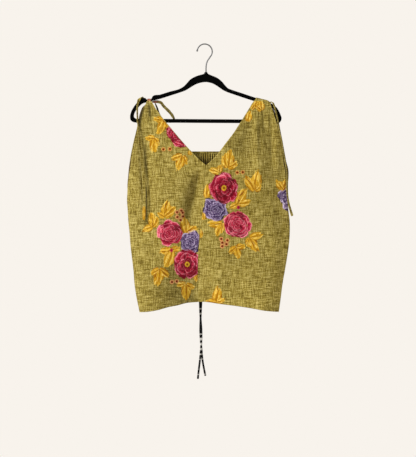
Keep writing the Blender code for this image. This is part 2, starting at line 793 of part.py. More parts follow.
def make_strap(material):
    """The left shoulder's strap: over the hanger in its notch, from the front to the back seam."""
    radius = CLOTH_TO_ARM
    path = [(-radius, STRAP_FRONT_Z + SEAM_GAP)]
    for step in range(SADDLE_ROWS):
        angle = math.pi * step / (SADDLE_ROWS - 1)
        path.append((-radius * math.cos(angle), STRAP_RIDGE_Z - radius * (1 - math.sin(angle))))
    path.append((radius, STRAP_BACK_Z + SEAM_GAP))
    sheet = Sheet()
    x = np.linspace(STRAP_FROM_X, STRAP_TO_X, STRAP_COLUMNS + 1)
    rows = [sheet.add_row(x, y, z) for y, z in path]
    for lower, upper in zip(rows, rows[1:]):
        sheet.bridge(lower, upper)
    return sheet.make("left_shoulder_strap", material, flip=False)


def make_casing(material):
    """The plain band along the gathered back neck, with the drawstring inside."""
    middle_z = CASING_TOP_Z - CASING_HEIGHT / 2
    half_h = CASING_HEIGHT / 2
    half_t = CASING_THICKNESS / 2
    flat_t = half_t - CASING_CHAMFER
    flat_h = half_h - CASING_CHAMFER
    profile = (
        (-half_t, flat_h),
        (-flat_t, half_h),
        (flat_t, half_h),
        (half_t, flat_h),
        (half_t, -flat_h),
        (flat_t, -half_h),
        (-flat_t, -half_h),
        (-half_t, -flat_h),
    )
    sections = []
    for x in np.linspace(-CASING_HALF_WIDTH, CASING_HALF_WIDTH, CASING_SECTIONS):
        y = float(cloth_y("back", x, middle_z))
        sections.append([(x, y + a, middle_z + b) for a, b in profile])
    return make_loft("back_neck_casing", sections, material, closed=False)


def make_knot(material):
    """The knot of the left tie: a lying egg, pinched round twice."""
    around = np.radians(np.arange(0, 360, 30))
    sections = []
    for s in np.linspace(-0.96, 0.96, 13):
        swell = math.sqrt(1 - s * s) * (1 - KNOT_PINCH * math.cos(3.2 * math.pi * s))
        x = KNOT_CENTRE[0] + KNOT_RADII[0] * s
        y = KNOT_CENTRE[1] + KNOT_RADII[1] * swell * np.cos(around)
        z = KNOT_CENTRE[2] + KNOT_RADII[2] * swell * np.sin(around)
        sections.append([(x, b, c) for b, c in zip(y, z)])
    return make_loft("left_tie_knot", sections, material, closed=False)


def string_route(direction, end_z):
    """One drawstring end: out of the casing, down over the back panel, then hanging free."""
    down = np.arange(STRING_TOP_Z, end_z, -STRING_STEP)
    down = np.append(down[:-1], end_z)
    x = STRINGS.at("x", down) + direction * STRINGS.at("apart_x", down)
    off = 0.5 * (WALL + STRING_DIAMETER) + STRING_CLEARANCE + GATHER_RISE
    surface = cloth_y("back", x, np.maximum(down, HEM_Z)) + off
    y = np.maximum.accumulate(surface) + STRINGS.at("apart_y", down) * direction
    exit_x = direction * STRING_EXIT_APART
    exit_y = float(cloth_y("back", 0.0, STRING_EXIT_Z)) + CASING_THICKNESS / 2 + SEAM_GAP
    start = [(exit_x, exit_y, STRING_EXIT_Z), (exit_x, exit_y + STRING_EXIT_REACH, STRING_EXIT_Z)]
    return start + list(zip(x.tolist(), y.tolist(), down.tolist()))


for old in list(bpy.data.objects):
    bpy.data.objects.remove(old)
collection = bpy.data.collections.new("embroidered_tank_top")
bpy.context.scene.collection.children.link(collection)

linen = make_material("olive_linen", (0.36, 0.29, 0.08), 0.85)
tie_linen = make_material("tie_linen", (0.36, 0.29, 0.08), 0.85)
velvet = make_material("black_velvet", (0.008, 0.008, 0.008), 0.95)
chrome = make_material("bright_wire", (0.62, 0.62, 0.62), 0.25, 1.0)
braid = make_material("banded_cord", (0.03, 0.03, 0.03), 0.8)

make_front("left", linen)
make_front("right", linen)
make_back(linen)
make_casing(linen)
make_strap(linen)
make_knot(tie_linen)
make_ribbon("left_tie_loop", LEFT_LOOP, tie_linen)
make_ribbon("left_tie_tail", LEFT_TAIL, tie_linen)
make_ribbon("right_tie_tail", RIGHT_TAIL, tie_linen)
for string_name, (string_side, string_end) in STRING_ENDS.items():
    make_tube(string_name, string_route(string_side, string_end), STRING_DIAMETER, braid)
make_hanger_frame(velvet)
make_hook(chrome)
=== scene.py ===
# %% [markdown]
# # An embroidered tank top on a velvet hanger
#
# The top is two front halves and a back of slubby olive linen. It hangs by its shoulders on a
# slim velvet hanger. This lesson dresses the plain solids of the frame: cloth shells with creases,
# embroidery made stitch by stitch, ribbons, a banded cord, flock and bright wire.
# Lengths are in millimetres in the tables, and become metres when a mesh is written.

import math

import bmesh
import bpy
import numpy as np
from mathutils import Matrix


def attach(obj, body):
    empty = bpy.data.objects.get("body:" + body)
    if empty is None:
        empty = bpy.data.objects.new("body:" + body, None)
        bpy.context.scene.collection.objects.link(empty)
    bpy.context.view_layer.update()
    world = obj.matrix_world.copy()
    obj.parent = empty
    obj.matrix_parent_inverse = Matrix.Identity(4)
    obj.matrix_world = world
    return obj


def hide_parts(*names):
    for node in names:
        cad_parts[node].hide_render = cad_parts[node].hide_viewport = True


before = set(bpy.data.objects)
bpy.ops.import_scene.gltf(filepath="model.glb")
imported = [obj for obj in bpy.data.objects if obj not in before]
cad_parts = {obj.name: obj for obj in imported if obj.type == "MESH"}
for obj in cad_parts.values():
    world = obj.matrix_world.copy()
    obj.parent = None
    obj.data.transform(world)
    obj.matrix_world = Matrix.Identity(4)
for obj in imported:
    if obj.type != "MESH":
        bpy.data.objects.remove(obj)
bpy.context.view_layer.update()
MM = 0.001

# %% [markdown]
# ## The camera
#
# The picture was taken square to the front from far away, so a long lens on a distant camera
# gives the same flat view. The picture is 457 pixels high and shows 1.341 m at the top's place.
# The lens could be guessed by eye, but it follows from these two numbers.

# %% Camera
PICTURE_HEIGHT = 1.3413  # metres shown from the lower to the upper edge of the picture
PICTURE_CENTRE = (0.0065, -0.5395)  # x and z, metres
CAMERA_DISTANCE = 6.0
SENSOR = 36.0

camera_data = bpy.data.cameras.new("camera")
camera_data.sensor_width = SENSOR
camera_data.lens = SENSOR * CAMERA_DISTANCE / PICTURE_HEIGHT
camera = bpy.data.objects.new("camera", camera_data)
camera.location = (PICTURE_CENTRE[0], -CAMERA_DISTANCE, PICTURE_CENTRE[1])
camera.rotation_euler = (math.radians(90), 0, 0)
bpy.context.scene.collection.objects.link(camera)
bpy.context.scene.camera = camera
bpy.context.scene.view_settings.view_transform = "Standard"
print("lens", round(camera_data.lens, 1), "mm")

# %% [markdown]
# ## Smooth tables
#
# A pattern maker writes a curve as a few measured rows and draws a smooth line through them. This
# class does the same: at(name, where) gives a cubic curve whose slope at a row is that of its
# neighbours. Bezier curves would do it too, but a table can be read for whole arrays at once.


# %% Table
class Table:
    """Rows of named columns, read as smooth curves over the first column."""

    def __init__(self, columns, *rows):
        values = np.array(sorted(rows), float)
        self.key = values[:, 0]
        self.column = {name: values[:, i] for i, name in enumerate(columns.split())}

    def at(self, name, where):
        """(1 + 2s)(1 - s)^2 low + s(1 - s)^2 slope + s^2(3 - 2s) high + s^2(s - 1) slope."""
        where = np.clip(np.asarray(where, float), self.key[0], self.key[-1])
        rows = self.column[name]
        slopes = np.gradient(rows, self.key)
        low = np.clip(np.searchsorted(self.key, where) - 1, 0, len(self.key) - 2)
        step = self.key[low + 1] - self.key[low]
        s = (where - self.key[low]) / step
        start = (1 + 2 * s) * (1 - s) ** 2 * rows[low] + s * (1 - s) ** 2 * step * slopes[low]
        end = s**2 * (3 - 2 * s) * rows[low + 1] + s**2 * (s - 1) * step * slopes[low + 1]
        return start + end


# %% [markdown]
# ## Meshes from arrays
#
# Every piece is a surface over a grid of two parameters. The grid's points are computed as whole
# arrays, and its faces join each point with its neighbours. Writing arrays straight into the mesh
# is much faster than adding points one by one.


# %% Grid and mesh helpers
def grid_faces(rows, columns, wrap_rows=False, wrap_columns=False):
    """Four corner numbers for each cell of a grid whose points are numbered row by row."""
    r = np.arange(rows if wrap_rows else rows - 1)[:, None]
    c = np.arange(columns if wrap_columns else columns - 1)[None, :]
    above = (r + 1) % rows
    beside = (c + 1) % columns
    corners = (r * columns + c, r * columns + beside, above * columns + beside, above * columns + c)
    return np.stack(corners, axis=-1).reshape(-1, 4)


def make_piece(name, points, faces, material, uv=None, marks=None, colours=None, smooth=True):
    """A mesh object: points in mm, faces as corner numbers, uv in metres, marks and colours."""
    points = points.reshape(-1, 3)
    mesh = bpy.data.meshes.new(name)
    mesh.vertices.add(len(points))
    mesh.vertices.foreach_set("co", (points * MM).astype(np.float32).ravel())
    mesh.loops.add(faces.size)
    mesh.loops.foreach_set("vertex_index", faces.astype(np.int32).ravel())
    mesh.polygons.add(len(faces))
    starts = np.arange(0, faces.size, faces.shape[1], dtype=np.int32)
    mesh.polygons.foreach_set("loop_start", starts)
    mesh.polygons.foreach_set("use_smooth", np.full(len(faces), smooth))
    if uv is not None:
        layer = mesh.uv_layers.new(name="cloth")
        layer.uv.foreach_set("vector", uv.reshape(-1, 2)[faces.ravel()].astype(np.float32).ravel())
    for mark, values in (marks or {}).items():
        attribute = mesh.attributes.new(mark, "FLOAT", "POINT")
        attribute.data.foreach_set("value", np.asarray(values, np.float32).ravel())
    if colours is not None:
        attribute = mesh.attributes.new("thread", "FLOAT_COLOR", "POINT")
        rgba = np.column_stack([colours.reshape(-1, 3), np.ones(len(points))])
        attribute.data.foreach_set("color", rgba.astype(np.float32).ravel())
    mesh.update(calc_edges=True)
    mesh.validate()
    mesh.materials.append(material)
    piece = bpy.data.objects.new(name, mesh)
    bpy.context.scene.collection.objects.link(piece)
    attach(piece, "root")
    return piece


def merge_points(piece, distance=0.00001):
    """Join points that lie on each other, so that poles and joins are closed."""
    body = bmesh.new()
    body.from_mesh(piece.data)
    bmesh.ops.remove_doubles(body, verts=body.verts, dist=distance)
    bmesh.ops.dissolve_degenerate(body, edges=body.edges, dist=distance * 0.1)
    body.to_mesh(piece.data)
    body.free()
    piece.data.update()


def make_tube(name, rings, material, **looks):
    """A tube through rings of points, closed where its first and last ring shrink to a point."""
    faces = grid_faces(*rings.shape[:2], wrap_columns=True)
    piece = make_piece(name, rings, faces, material, **looks)
    merge_points(piece)
    return piece


def dress(piece, node=None):
    """Hide the solid that a finished piece stands for, and print the piece's triangles."""
    if node:
        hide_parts(node)
    shape = piece.evaluated_get(bpy.context.evaluated_depsgraph_get()).to_mesh()
    shape.calc_loop_triangles()
    print(piece.name, len(shape.loop_triangles), "triangles")
    return piece


# %% [markdown]
# ## Node helper
#
# A material is a small graph. One helper adds a node, sets its settings, and then sets or links
# its inputs, so that each material below reads as a list of steps.


# %% Nodes
def add_node(tree, kind, inputs=None, **settings):
    """Add a shader node; each input is a value to set or a socket to link."""
    made = tree.nodes.new("ShaderNode" + kind)
    for name, value in settings.items():
        setattr(made, name, value)
    for key, value in (inputs or {}).items():
        if isinstance(value, bpy.types.NodeSocket):
            tree.links.new(value, made.inputs[key])
        else:
            made.inputs[key].default_value = value
    return made


def do_math(tree, operation, *values, clamp=False):
    """One math step on numbers or sockets."""
    numbered = {i: value for i, value in enumerate(values)}
    return add_node(tree, "Math", numbered, operation=operation, use_clamp=clamp).outputs[0]


def new_material(name, roughness, sheen=0.0, metallic=0.0, specular=0.3):
    """A Principled material; the fixed numbers go straight on the shader's own sockets."""
    material = bpy.data.materials.new(name)
    material.use_nodes = True
    tree = material.node_tree
    shader = tree.nodes["Principled BSDF"]
    shader.inputs["Roughness"].default_value = roughness
    shader.inputs["Sheen Weight"].default_value = sheen
    shader.inputs["Metallic"].default_value = metallic
    shader.inputs["Specular IOR Level"].default_value = specular
    return material, tree, shader


def object_noise(tree, scale, detail):
    """Noise on the object's own coordinates, with about `scale` blotches in a metre."""
    place = add_node(tree, "TexCoord").outputs["Object"]
    inputs = {"Vector": place, "Scale": scale, "Detail": detail}
    return add_node(tree, "TexNoise", inputs).outputs["Fac"]


def tint(tree, shader, tone, dark, light):
    """The base colour runs from dark to light with the tone."""
    ramp = add_node(tree, "ValToRGB", {0: tone})
    ramp.color_ramp.elements[0].color = dark
    ramp.color_ramp.elements[1].color = light
    tree.links.new(ramp.outputs[0], shader.inputs["Base Color"])


def darkened(tree, colour, level):
    """The colour times a level from 0 to about 1."""
    inputs = {0: 1.0, 6: colour, 7: level}
    return add_node(tree, "Mix", inputs, data_type="RGBA", blend_type="MULTIPLY").outputs[2]


def add_bump(tree, shader, strength, distance, height):
    """Small relief from a height, `distance` metres high."""
    bump = add_node(tree, "Bump", {"Strength": strength, "Distance": distance, "Height": height})
    tree.links.new(bump.outputs[0], shader.inputs["Normal"])


# %% [markdown]
# ## Slubby linen
#
# Linen yarn is uneven: it has thick, pale stretches called slubs and thin, dark ones. Each yarn
# keeps its tone for a few centimetres, across and along the cloth, which gives the cloth its
# crosshatch. A flat noise would look like felt, so two noises are stretched, one for each
# direction of yarn, and a plain weave chooses at each crossing which yarn lies on top.
# The pattern reads the cloth's own UV map, in metres, so it bends with the folds.

# %% Linen material
YARN = 0.0017  # metres from one yarn to the next
YARN_TONES = 28  # changes of tone in a metre of yarn
YARN_SHARE = 0.7
# Noises that are added to the yarns' tone: share, blotches in a metre across and along, detail
TONE_NOISES = (
    (1.08, 400, 34, 3.0),  # slubs of the warp
    (1.08, 34, 400, 3.0),  # slubs of the weft
    (0.7, 400, 400, 1.0),  # flecks
    (0.1, 11, 11, 2.0),  # clouds
)
WORN_EDGE = 0.14  # how much paler a folded edge is
LINEN_COLOURS = (
    (0.18, (0.105, 0.066, 0.006, 1)),
    (0.50, (0.300, 0.222, 0.034, 1)),
    (0.84, (0.600, 0.480, 0.150, 1)),
)
BLUSH = (0.44, 0.075, 0.11, 1)
# painted shade: the dark brown that the gathers' hollows are mixed towards
PAINTED_HOLLOW_SHADE = (0.075, 0.034, 0.015, 1)
SLUB_HEIGHT = 1.6  # against the weave's height of 1


def stretched_noise(tree, vector, scale, seed, detail=2.0, roughness=0.55):
    """Noise whose blotches are 1/scale metres wide in each direction."""
    place = {"Vector": vector, "Location": (seed * 7.3, seed * 3.1, 0), "Scale": scale}
    moved = add_node(tree, "Mapping", place).outputs[0]
    texture = {"Vector": moved, "Scale": 1.0, "Detail": detail, "Roughness": roughness}
    return add_node(tree, "TexNoise", texture, noise_dimensions="2D").outputs["Fac"]


def read_mark(tree, mark):
    """A number that the mesh keeps on its points; 0 where the piece has no such mark."""
    return add_node(tree, "Attribute", attribute_name=mark).outputs["Fac"]


def linen_material(name, shade=1.0, paints_hollow_shade=False):
    """Linen whose tone is 0.5 + the sum of share * (noise - 0.5), on a scale of three colours.

    Shade is painted light and shade: the share of its light that it keeps, below 1 painted shade and
    above 1 painted light. With the hollows' switch on, the gathers' hollows get painted brown shade.
    """
    material, tree, shader = new_material(name, 0.85, sheen=0.04, specular=0.15)
    uv = add_node(tree, "UVMap", uv_map="cloth").outputs[0]
    warp = stretched_noise(tree, uv, (1 / YARN, YARN_TONES, 1), 1)
    weft = stretched_noise(tree, uv, (YARN_TONES, 1 / YARN, 1), 2)
    axes = add_node(tree, "SeparateXYZ", {0: uv})
    wave_u = do_math(tree, "SINE", do_math(tree, "MULTIPLY", axes.outputs[0], math.pi / YARN))
    wave_v = do_math(tree, "SINE", do_math(tree, "MULTIPLY", axes.outputs[1], math.pi / YARN))
    weave = do_math(tree, "MULTIPLY", wave_u, wave_v)
    on_top = do_math(tree, "MULTIPLY_ADD", weave, 2.5, 0.5, clamp=True)
    yarn = add_node(tree, "Mix", {0: on_top, 2: warp, 3: weft}).outputs[0]
    tone = do_math(tree, "MULTIPLY_ADD", yarn, YARN_SHARE, 0.5)
    for seed, (share, across, along, detail) in enumerate(TONE_NOISES, 3):
        noise = stretched_noise(tree, uv, (across, along, 1), seed, detail)
        tone = do_math(tree, "MULTIPLY_ADD", noise, share, tone)
    shares = YARN_SHARE + sum(row[0] for row in TONE_NOISES)
    tone = do_math(tree, "ADD", tone, -0.5 * shares)
    tone = do_math(tree, "MULTIPLY_ADD", read_mark(tree, "edge"), WORN_EDGE, tone, clamp=True)
    ramp = add_node(tree, "ValToRGB", {0: tone})
    ramp.color_ramp.elements.new(0.5)
    for element, (position, colour) in zip(ramp.color_ramp.elements, LINEN_COLOURS):
        element.position = position
        element.color = colour
    blush = {0: read_mark(tree, "blush"), 6: ramp.outputs[0], 7: BLUSH}
    pinked = add_node(tree, "Mix", blush, data_type="RGBA")
    # painted light and shade: the copy's shade level, lifted to 1 on the back's turned hem
    level = do_math(tree, "MULTIPLY_ADD", read_mark(tree, "hem"), 1 - shade, shade)
    # painted shade and painted light: a mark on the points darkens the colour by its share, and lightens
    # it where the share is below 0
    level = do_math(tree, "MULTIPLY", level, do_math(tree, "SUBTRACT", 1.0, read_mark(tree, "deep")))
    shaded = darkened(tree, pinked.outputs[2], level)
    # painted shade: a mark on the points mixes the colour towards dark brown in the gathers' hollows,
    # under the neck and on the straps
    if paints_hollow_shade:
        hollows = {0: read_mark(tree, "pleat"), 6: shaded, 7: PAINTED_HOLLOW_SHADE}
        shaded = add_node(tree, "Mix", hollows, data_type="RGBA").outputs[2]
    tree.links.new(shaded, shader.inputs["Base Color"])
    hump = do_math(tree, "ABSOLUTE", weave)
    height = do_math(tree, "MULTIPLY_ADD", tone, SLUB_HEIGHT, hump)
    add_bump(tree, shader, 0.55, 0.0004, height)
    return material


# Copies of one linen with painted light and shade: the wrong side is painted lighter, with painted brown
# shade in its hollows, and the casing and the tie's loop are painted in shade
linen = linen_material("olive_linen")
linen_inside = linen_material("olive_linen_wrong_side", shade=1.18, paints_hollow_shade=True)
casing_linen = linen_material("casing_linen", shade=0.74)
tie_linen = linen_material("pressed_tie_linen", shade=1.0)
loop_linen = linen_material("tie_linen_painted_shade", shade=0.50)
print("yarns", YARN / MM, "mm apart")

# %% [markdown]
# ## Thread, flock, wire and cord finishes
#
# Embroidery thread has a soft gloss, and each stitch carries its own dye, which the mesh keeps as
# a colour on its points. Flock is nearly black and only brightens where it turns away; here it is
# a near-black nap of noise, without sheen. The hook is plated, so it is a metal that mirrors the lights.


# %% Other materials
FLOCK_BLACK = (0.0004, 0.0004, 0.0004, 1)
FLOCK_GREY = (0.0030, 0.0030, 0.0028, 1)
WIRE_DARK = (0.15, 0.15, 0.15, 1)
WIRE_LIGHT = (0.26, 0.26, 0.26, 1)


def dyed_material(name, roughness, sheen, scale, strength):
    """A finish of the mesh's own colour times 0.75 + 0.5 grain, with the grain as relief."""
    material, tree, shader = new_material(name, roughness, sheen, specular=0.12)
    dye = add_node(tree, "Attribute", attribute_name="thread").outputs["Color"]
    grain = object_noise(tree, scale, 2.0)
    level = do_math(tree, "MULTIPLY_ADD", grain, 0.5, 0.75)
    tree.links.new(darkened(tree, dye, level), shader.inputs["Base Color"])
    add_bump(tree, shader, strength, 0.0002, grain)
    return material


def flock_material():
    """Black flock: a soft, fine nap that swallows light."""
    material, tree, shader = new_material("black_flock", 1.0, specular=0.02)
    nap = object_noise(tree, 1400.0, 3.0)
    tint(tree, shader, nap, FLOCK_BLACK, FLOCK_GREY)
    add_bump(tree, shader, 0.5, 0.0003, nap)
    return material


def wire_material():
    """Bright plated wire with faint drawing marks."""
    material, tree, shader = new_material("bright_wire", 0.3, metallic=1.0)
    marks = object_noise(tree, 260.0, 4.0)
    tint(tree, shader, marks, WIRE_DARK, WIRE_LIGHT)
    rough = do_math(tree, "MULTIPLY_ADD", marks, 0.2, 0.42)
    tree.links.new(rough, shader.inputs["Roughness"])
    return material


thread = dyed_material("embroidery_thread", 0.5, 0.04, 900.0, 0.3)
braid = dyed_material("banded_braid", 0.85, 0.0, 1500.0, 0.4)
flock = flock_material()
wire = wire_material()

# %% [markdown]
# ## Ribbons
#
# The ties are strips of the same linen, folded and stitched into flat ribbons 8.5 mm wide. Each
# one follows a listed line, with the direction that it is wide in. A curve object can't
# twist this way exactly, so the flat section is carried along the line by arrays. The section is
# |cos|, |sin| raised to small powers, which makes a soft oblong, and a groove runs along its
# middle, where the fold meets.

# %% Ribbon routes
TIE_WIDTH = 8.5
TIE_THICKNESS = 1.6
LEFT_LOOP = (
    # x, y, z, width x, width y, width z
    (-152.0, 5.3, -167.4, 0.0, 0.2, 1.0),
    (-139.4, 5.4, -167.4, 0.0, 0.2, 1.0),
    (-131.5, 5.2, -170.2, 0.6, 0.2, 1.0),
    (-125.0, 5.2, -178.6, 1.0, 0.2, 0.6),
    (-115.6, 5.6, -188.1, 1.0, 0.0, 0.9),
    (-106.2, 6.4, -197.5, 1.0, 0.1, 0.8),
    (-98.5, 7.6, -207.4, 1.0, 0.3, 0.5),
    (-93.4, 8.6, -217.8, 1.0, 1.2, 0.3),
    (-93.0, 9.0, -226.0, 0.2, 1.0, 0.0),
    (-99.6, 9.0, -227.6, 0.0, 1.0, 0.0),
    (-111.5, 9.0, -227.0, 0.0, 1.0, 0.0),
    (-123.6, 9.0, -222.6, 0.1, 1.0, 0.0),
    (-131.6, 9.0, -212.2, 0.4, 1.0, 0.0),
    (-138.8, 9.0, -198.7, 0.55, 1.0, 0.2),
    (-143.0, 8.6, -185.4, 0.6, 1.0, 0.2),
    (-149.0, 7.0, -171.3, 0.2, 1.0, 0.1),
)
LEFT_TAIL = (
    (-159.4, 5.8, -167.4, 0.0, 0.0, 1.0),
    (-168.0, 8.0, -166.8, 0.0, 0.1, 1.0),
    (-177.0, 7.8, -163.6, 0.3, 0.2, 1.0),
    (-184.0, 6.6, -158.6, 1.0, 0.4, 0.8),
    (-188.5, 4.0, -154.9, 1.0, 0.2, 0.3),
    (-191.2, 0.0, -155.6, 1.0, 0.0, 0.5),
    (-194.4, -4.9, -159.4, 0.9, 0.2, 0.6),
    (-198.4, -7.8, -168.4, 0.7, 0.7, 0.3),
    (-200.4, -8.4, -184.0, 0.6, 1.0, 0.0),
    (-200.8, -8.6, -202.0, 0.5, 1.0, 0.0),
    (-200.0, -9.0, -218.0, 0.5, 1.0, 0.0),
    (-198.6, -10.2, -234.0, 0.5, 1.0, 0.0),
    (-197.0, -12.2, -254.0, 0.6, 1.0, 0.0),
    (-193.7, -15.0, -286.0, 0.8, 0.8, 0.0),
    (-189.3, -17.6, -324.0, 1.0, 0.5, 0.0),
    (-184.3, -22.4, -368.0, 1.0, 0.3, 0.0),
    (-180.8, -26.6, -412.0, 1.0, 0.2, 0.0),
    (-179.6, -29.2, -456.0, 1.0, 0.1, 0.0),
    (-180.3, -30.6, -491.0, 1.0, 0.1, 0.0),
    (-180.8, -31.2, -517.0, 1.0, 0.1, 0.0),
)
RIGHT_TAIL = (
    (178.0, 8.0, -178.0, 0.4, 0.0, 1.0),
    (184.0, 8.4, -174.0, 0.6, 0.1, 1.0),
    (189.5, 7.4, -170.0, 0.8, 0.2, 0.8),
    (193.5, 4.4, -168.0, 1.0, 0.2, -0.3),
    (196.6, 0.0, -170.6, 1.0, 0.0, -0.6),
    (199.0, -4.6, -175.4, 0.8, 0.4, -0.6),
    (202.2, -7.6, -185.0, 0.5, 1.0, 0.0),
    (206.6, -9.2, -202.0, 0.5, 1.0, 0.0),
    (211.4, -11.2, -224.0, 0.5, 1.0, 0.0),
    (217.2, -13.0, -256.0, 0.5, 1.0, 0.0),
    (222.2, -14.0, -281.0, 0.5, 1.0, 0.0),
    (227.2, -14.6, -309.0, 0.5, 1.0, 0.0),
    (232.4, -15.2, -338.0, 0.5, 1.0, 0.0),
    (236.8, -15.6, -368.0, 0.5, 1.0, 0.0),
    (238.6, -15.8, -397.0, 0.6, 1.0, 0.0),
    (238.6, -15.6, -426.0, 0.6, 1.0, 0.0),
    (240.2, -14.8, -450.0, 0.6, 1.0, 0.0),
    (245.4, -13.2, -476.0, 0.8, 0.8, 0.0),
    (253.4, -11.8, -503.0, 1.0, 0.6, 0.0),
)


# %% Carry a section along a line
def unit(vectors):
    """Vectors divided by their own length."""
    return vectors / np.linalg.norm(vectors, axis=-1, keepdims=True)


def lengths_along(line):
    """The distance from a line's first point to each of its points."""
    return np.concatenate([[0], np.cumsum(np.linalg.norm(np.diff(line, axis=0), axis=1))])


def curve_through(rows, step):
    """A smooth line through the rows, its width direction, and what is square to both."""
    rows = np.array(rows, float)
    chord = lengths_along(rows[:, :3])
    table = Table("at x y z wx wy wz", *np.column_stack([chord, rows]).tolist())
    where = np.linspace(0, chord[-1], max(2, round(chord[-1] / step)) + 1)
    line = np.column_stack([table.at(name, where) for name in "xyz"])
    width = np.column_stack([table.at(name, where) for name in ("wx", "wy", "wz")])
    tangent = unit(np.gradient(line, axis=0))
    width = unit(width - tangent * np.sum(width * tangent, axis=1)[:, None])
    return line, width, np.cross(tangent, width)


def read_line(where, along, values):
    """Each column of a line's values, read at some distances along it."""
    return np.stack([np.interp(where, along, column) for column in values.T], axis=-1)


def section_angles(count):
    """Even angles round a section."""
    return np.arange(count) * 2 * math.pi / count


def oblong(count, across_power, through_power):
    """A section's two shares: cos and sin with their signs, raised to powers below 1."""
    angles = section_angles(count)
    across = np.sign(np.cos(angles)) * np.abs(np.cos(angles)) ** across_power
    through = np.sign(np.sin(angles)) * np.abs(np.sin(angles)) ** through_power
    return across, through


def sweep(line, width, normal, half_width, half_thickness):
    """Points line + half_width * width + half_thickness * normal, closed to a point at its ends."""
    rings = line[:, None] + half_width[..., None] * width[:, None]
    rings = rings + half_thickness[..., None] * normal[:, None]
    ends = rings[[0, -1]].mean(axis=1, keepdims=True) + 0 * rings[:1]
    return np.concatenate([ends[:1], rings, ends[1:]])


def with_ends(values):
    """Values of the line's points, repeated for the two points that close it."""
    return np.concatenate([values[:1], values, values[-1:]])


def tube_uv(rings, turn_length):
    """UV in metres: round the section, and along the middle line."""
    around = np.arange(rings.shape[1]) / rings.shape[1] * turn_length
    u, v = np.meshgrid(around, lengths_along(rings.mean(axis=1)))
    return np.stack([u, v], axis=-1) * MM


def bell(distance, half_width):
    """1 at no distance, falling on both sides: exp(-(distance / half width)^2)."""
    return np.exp(-((distance / half_width) ** 2))


def smooth_step(value, low, high):
    """0 below low, 1 above high, s^2(3 - 2s) between."""
    s = np.clip((value - low) / (high - low), 0, 1)
    return s * s * (3 - 2 * s)


def soft_ends(count, step, fade):
    """1 along the line, falling to 0.6 over the last few millimetres: sqrt of the distance."""
    along = np.arange(count) * step
    near = np.minimum(along, along[::-1])
    return 0.6 + 0.4 * np.sqrt(np.clip(near / fade, 0, 1))


# %% Make the ribbons
RIBBON_STEP = 1.6
RIBBON_SIDES = 28
GROOVE = (0.5, 0.14)  # depth and half width, as shares of the half thickness and half width
PRESSED_EDGE = (0.25, 0.8, 0.15)  # rise, place and half width of the swell beside each edge
UNEVENNESS = 0.022
UNEVEN_LENGTHS = (14, 60)
# painted shade on the loop's return stretch: the light lost, and how softly it begins
SHADOWED = (0.7, 0.08)  # light lost on the dark stretch, and how softly it begins


def make_ribbon(name, rows, node, seed, cloth, dark_from):
    """A soft flat strip: |cos|^0.5 wide, |sin|^0.6 thick, a groove in the middle, uneven edges.

    Past the share dark_from of its length its colour carries painted shade.
    """
    line, width, normal = curve_through(rows, RIBBON_STEP)
    across, through = oblong(RIBBON_SIDES, 0.5, 0.6)
    rise, place, swell = PRESSED_EDGE
    relief = 1 - GROOVE[0] * bell(across, GROOVE[1]) + rise * bell(np.abs(across) - place, swell)
    draw = np.random.default_rng(seed)
    along = np.arange(len(line)) * RIBBON_STEP
    uneven = 0.0
    for _ in range(4):
        turns = 2 * math.pi * along / draw.uniform(*UNEVEN_LENGTHS)
        uneven = uneven + UNEVENNESS * np.sin(turns + draw.uniform(0, 6))
    ends = soft_ends(len(line), RIBBON_STEP, 1.5)
    half_width = 0.5 * TIE_WIDTH * ((1 + uneven) * ends)[:, None] * across
    half_thickness = 0.5 * TIE_THICKNESS * ((1 - 2 * uneven) * ends)[:, None] * (through * relief)
    rings = sweep(line, width, normal, half_width, half_thickness)
    uv = tube_uv(rings, 2 * TIE_WIDTH)
    edge = np.broadcast_to(np.abs(across) ** 8, rings.shape[:2])
    # painted shade along the stretch past dark_from
    deep = SHADOWED[0] * np.clip((along / along[-1] - dark_from) / SHADOWED[1], 0, 1)[:, None]
    marks = {"edge": edge, "deep": with_ends(deep) + 0 * edge}
    return dress(make_tube(name, rings, cloth, uv=uv, marks=marks), node), line


for ribbon_name, *ribbon_settings in (
    ("tie_loop_left", LEFT_LOOP, "left_tie_loop", 11, loop_linen, 0.52),
    ("tie_tail_left", LEFT_TAIL, "left_tie_tail", 12, tie_linen, 1.0),
    ("tie_tail_right", RIGHT_TAIL, "right_tie_tail", 13, tie_linen, 1.0),
):
    make_ribbon(ribbon_name, *ribbon_settings)

# %% [markdown]
# ## The cloth's outline and depth
#
# The panels were cut flat, but hung they bulge: the front and back stand apart like the two sides
# of a lens, widest below the armholes. So a panel is y = depth(x, z), worked out between its
# outline's left and right edges, and the folds are soft ridges and valleys added to that depth.
# Each fold has its own line, width and height. A cloth simulation would find its own folds, and
# these have to lie where the photo has them.

# %% Tables of the cut
WALL = 1.2
SEAM_GAP = 0.35
CLOTH_TO_ARM = 4.6
SEAM_HALF_GAP = 0.15  # the side seams are drawn closed
NECK_POINT_Z = -354.0
ARMHOLE_BOTTOM_Z = -456.0
HEM_Z = -754.0
HEM_EASE_Z = -560.0
CASING_TOP_Z = -312.6
CASING_HEIGHT = 8.0
CASING_THICKNESS = 3.0
CASING_HALF_WIDTH = 60.0
STRAP_FROM_X = -171.2
STRAP_TO_X = -161.4
STRAP_FRONT_Z = -166.0
STRAP_BACK_Z = -169.5
STRAP_RIDGE_Z = -158.8
SADDLE_FROM_X = 146.7
SADDLE_TO_X = 189.4
SHOULDER_SEAM_DROP = 13.0

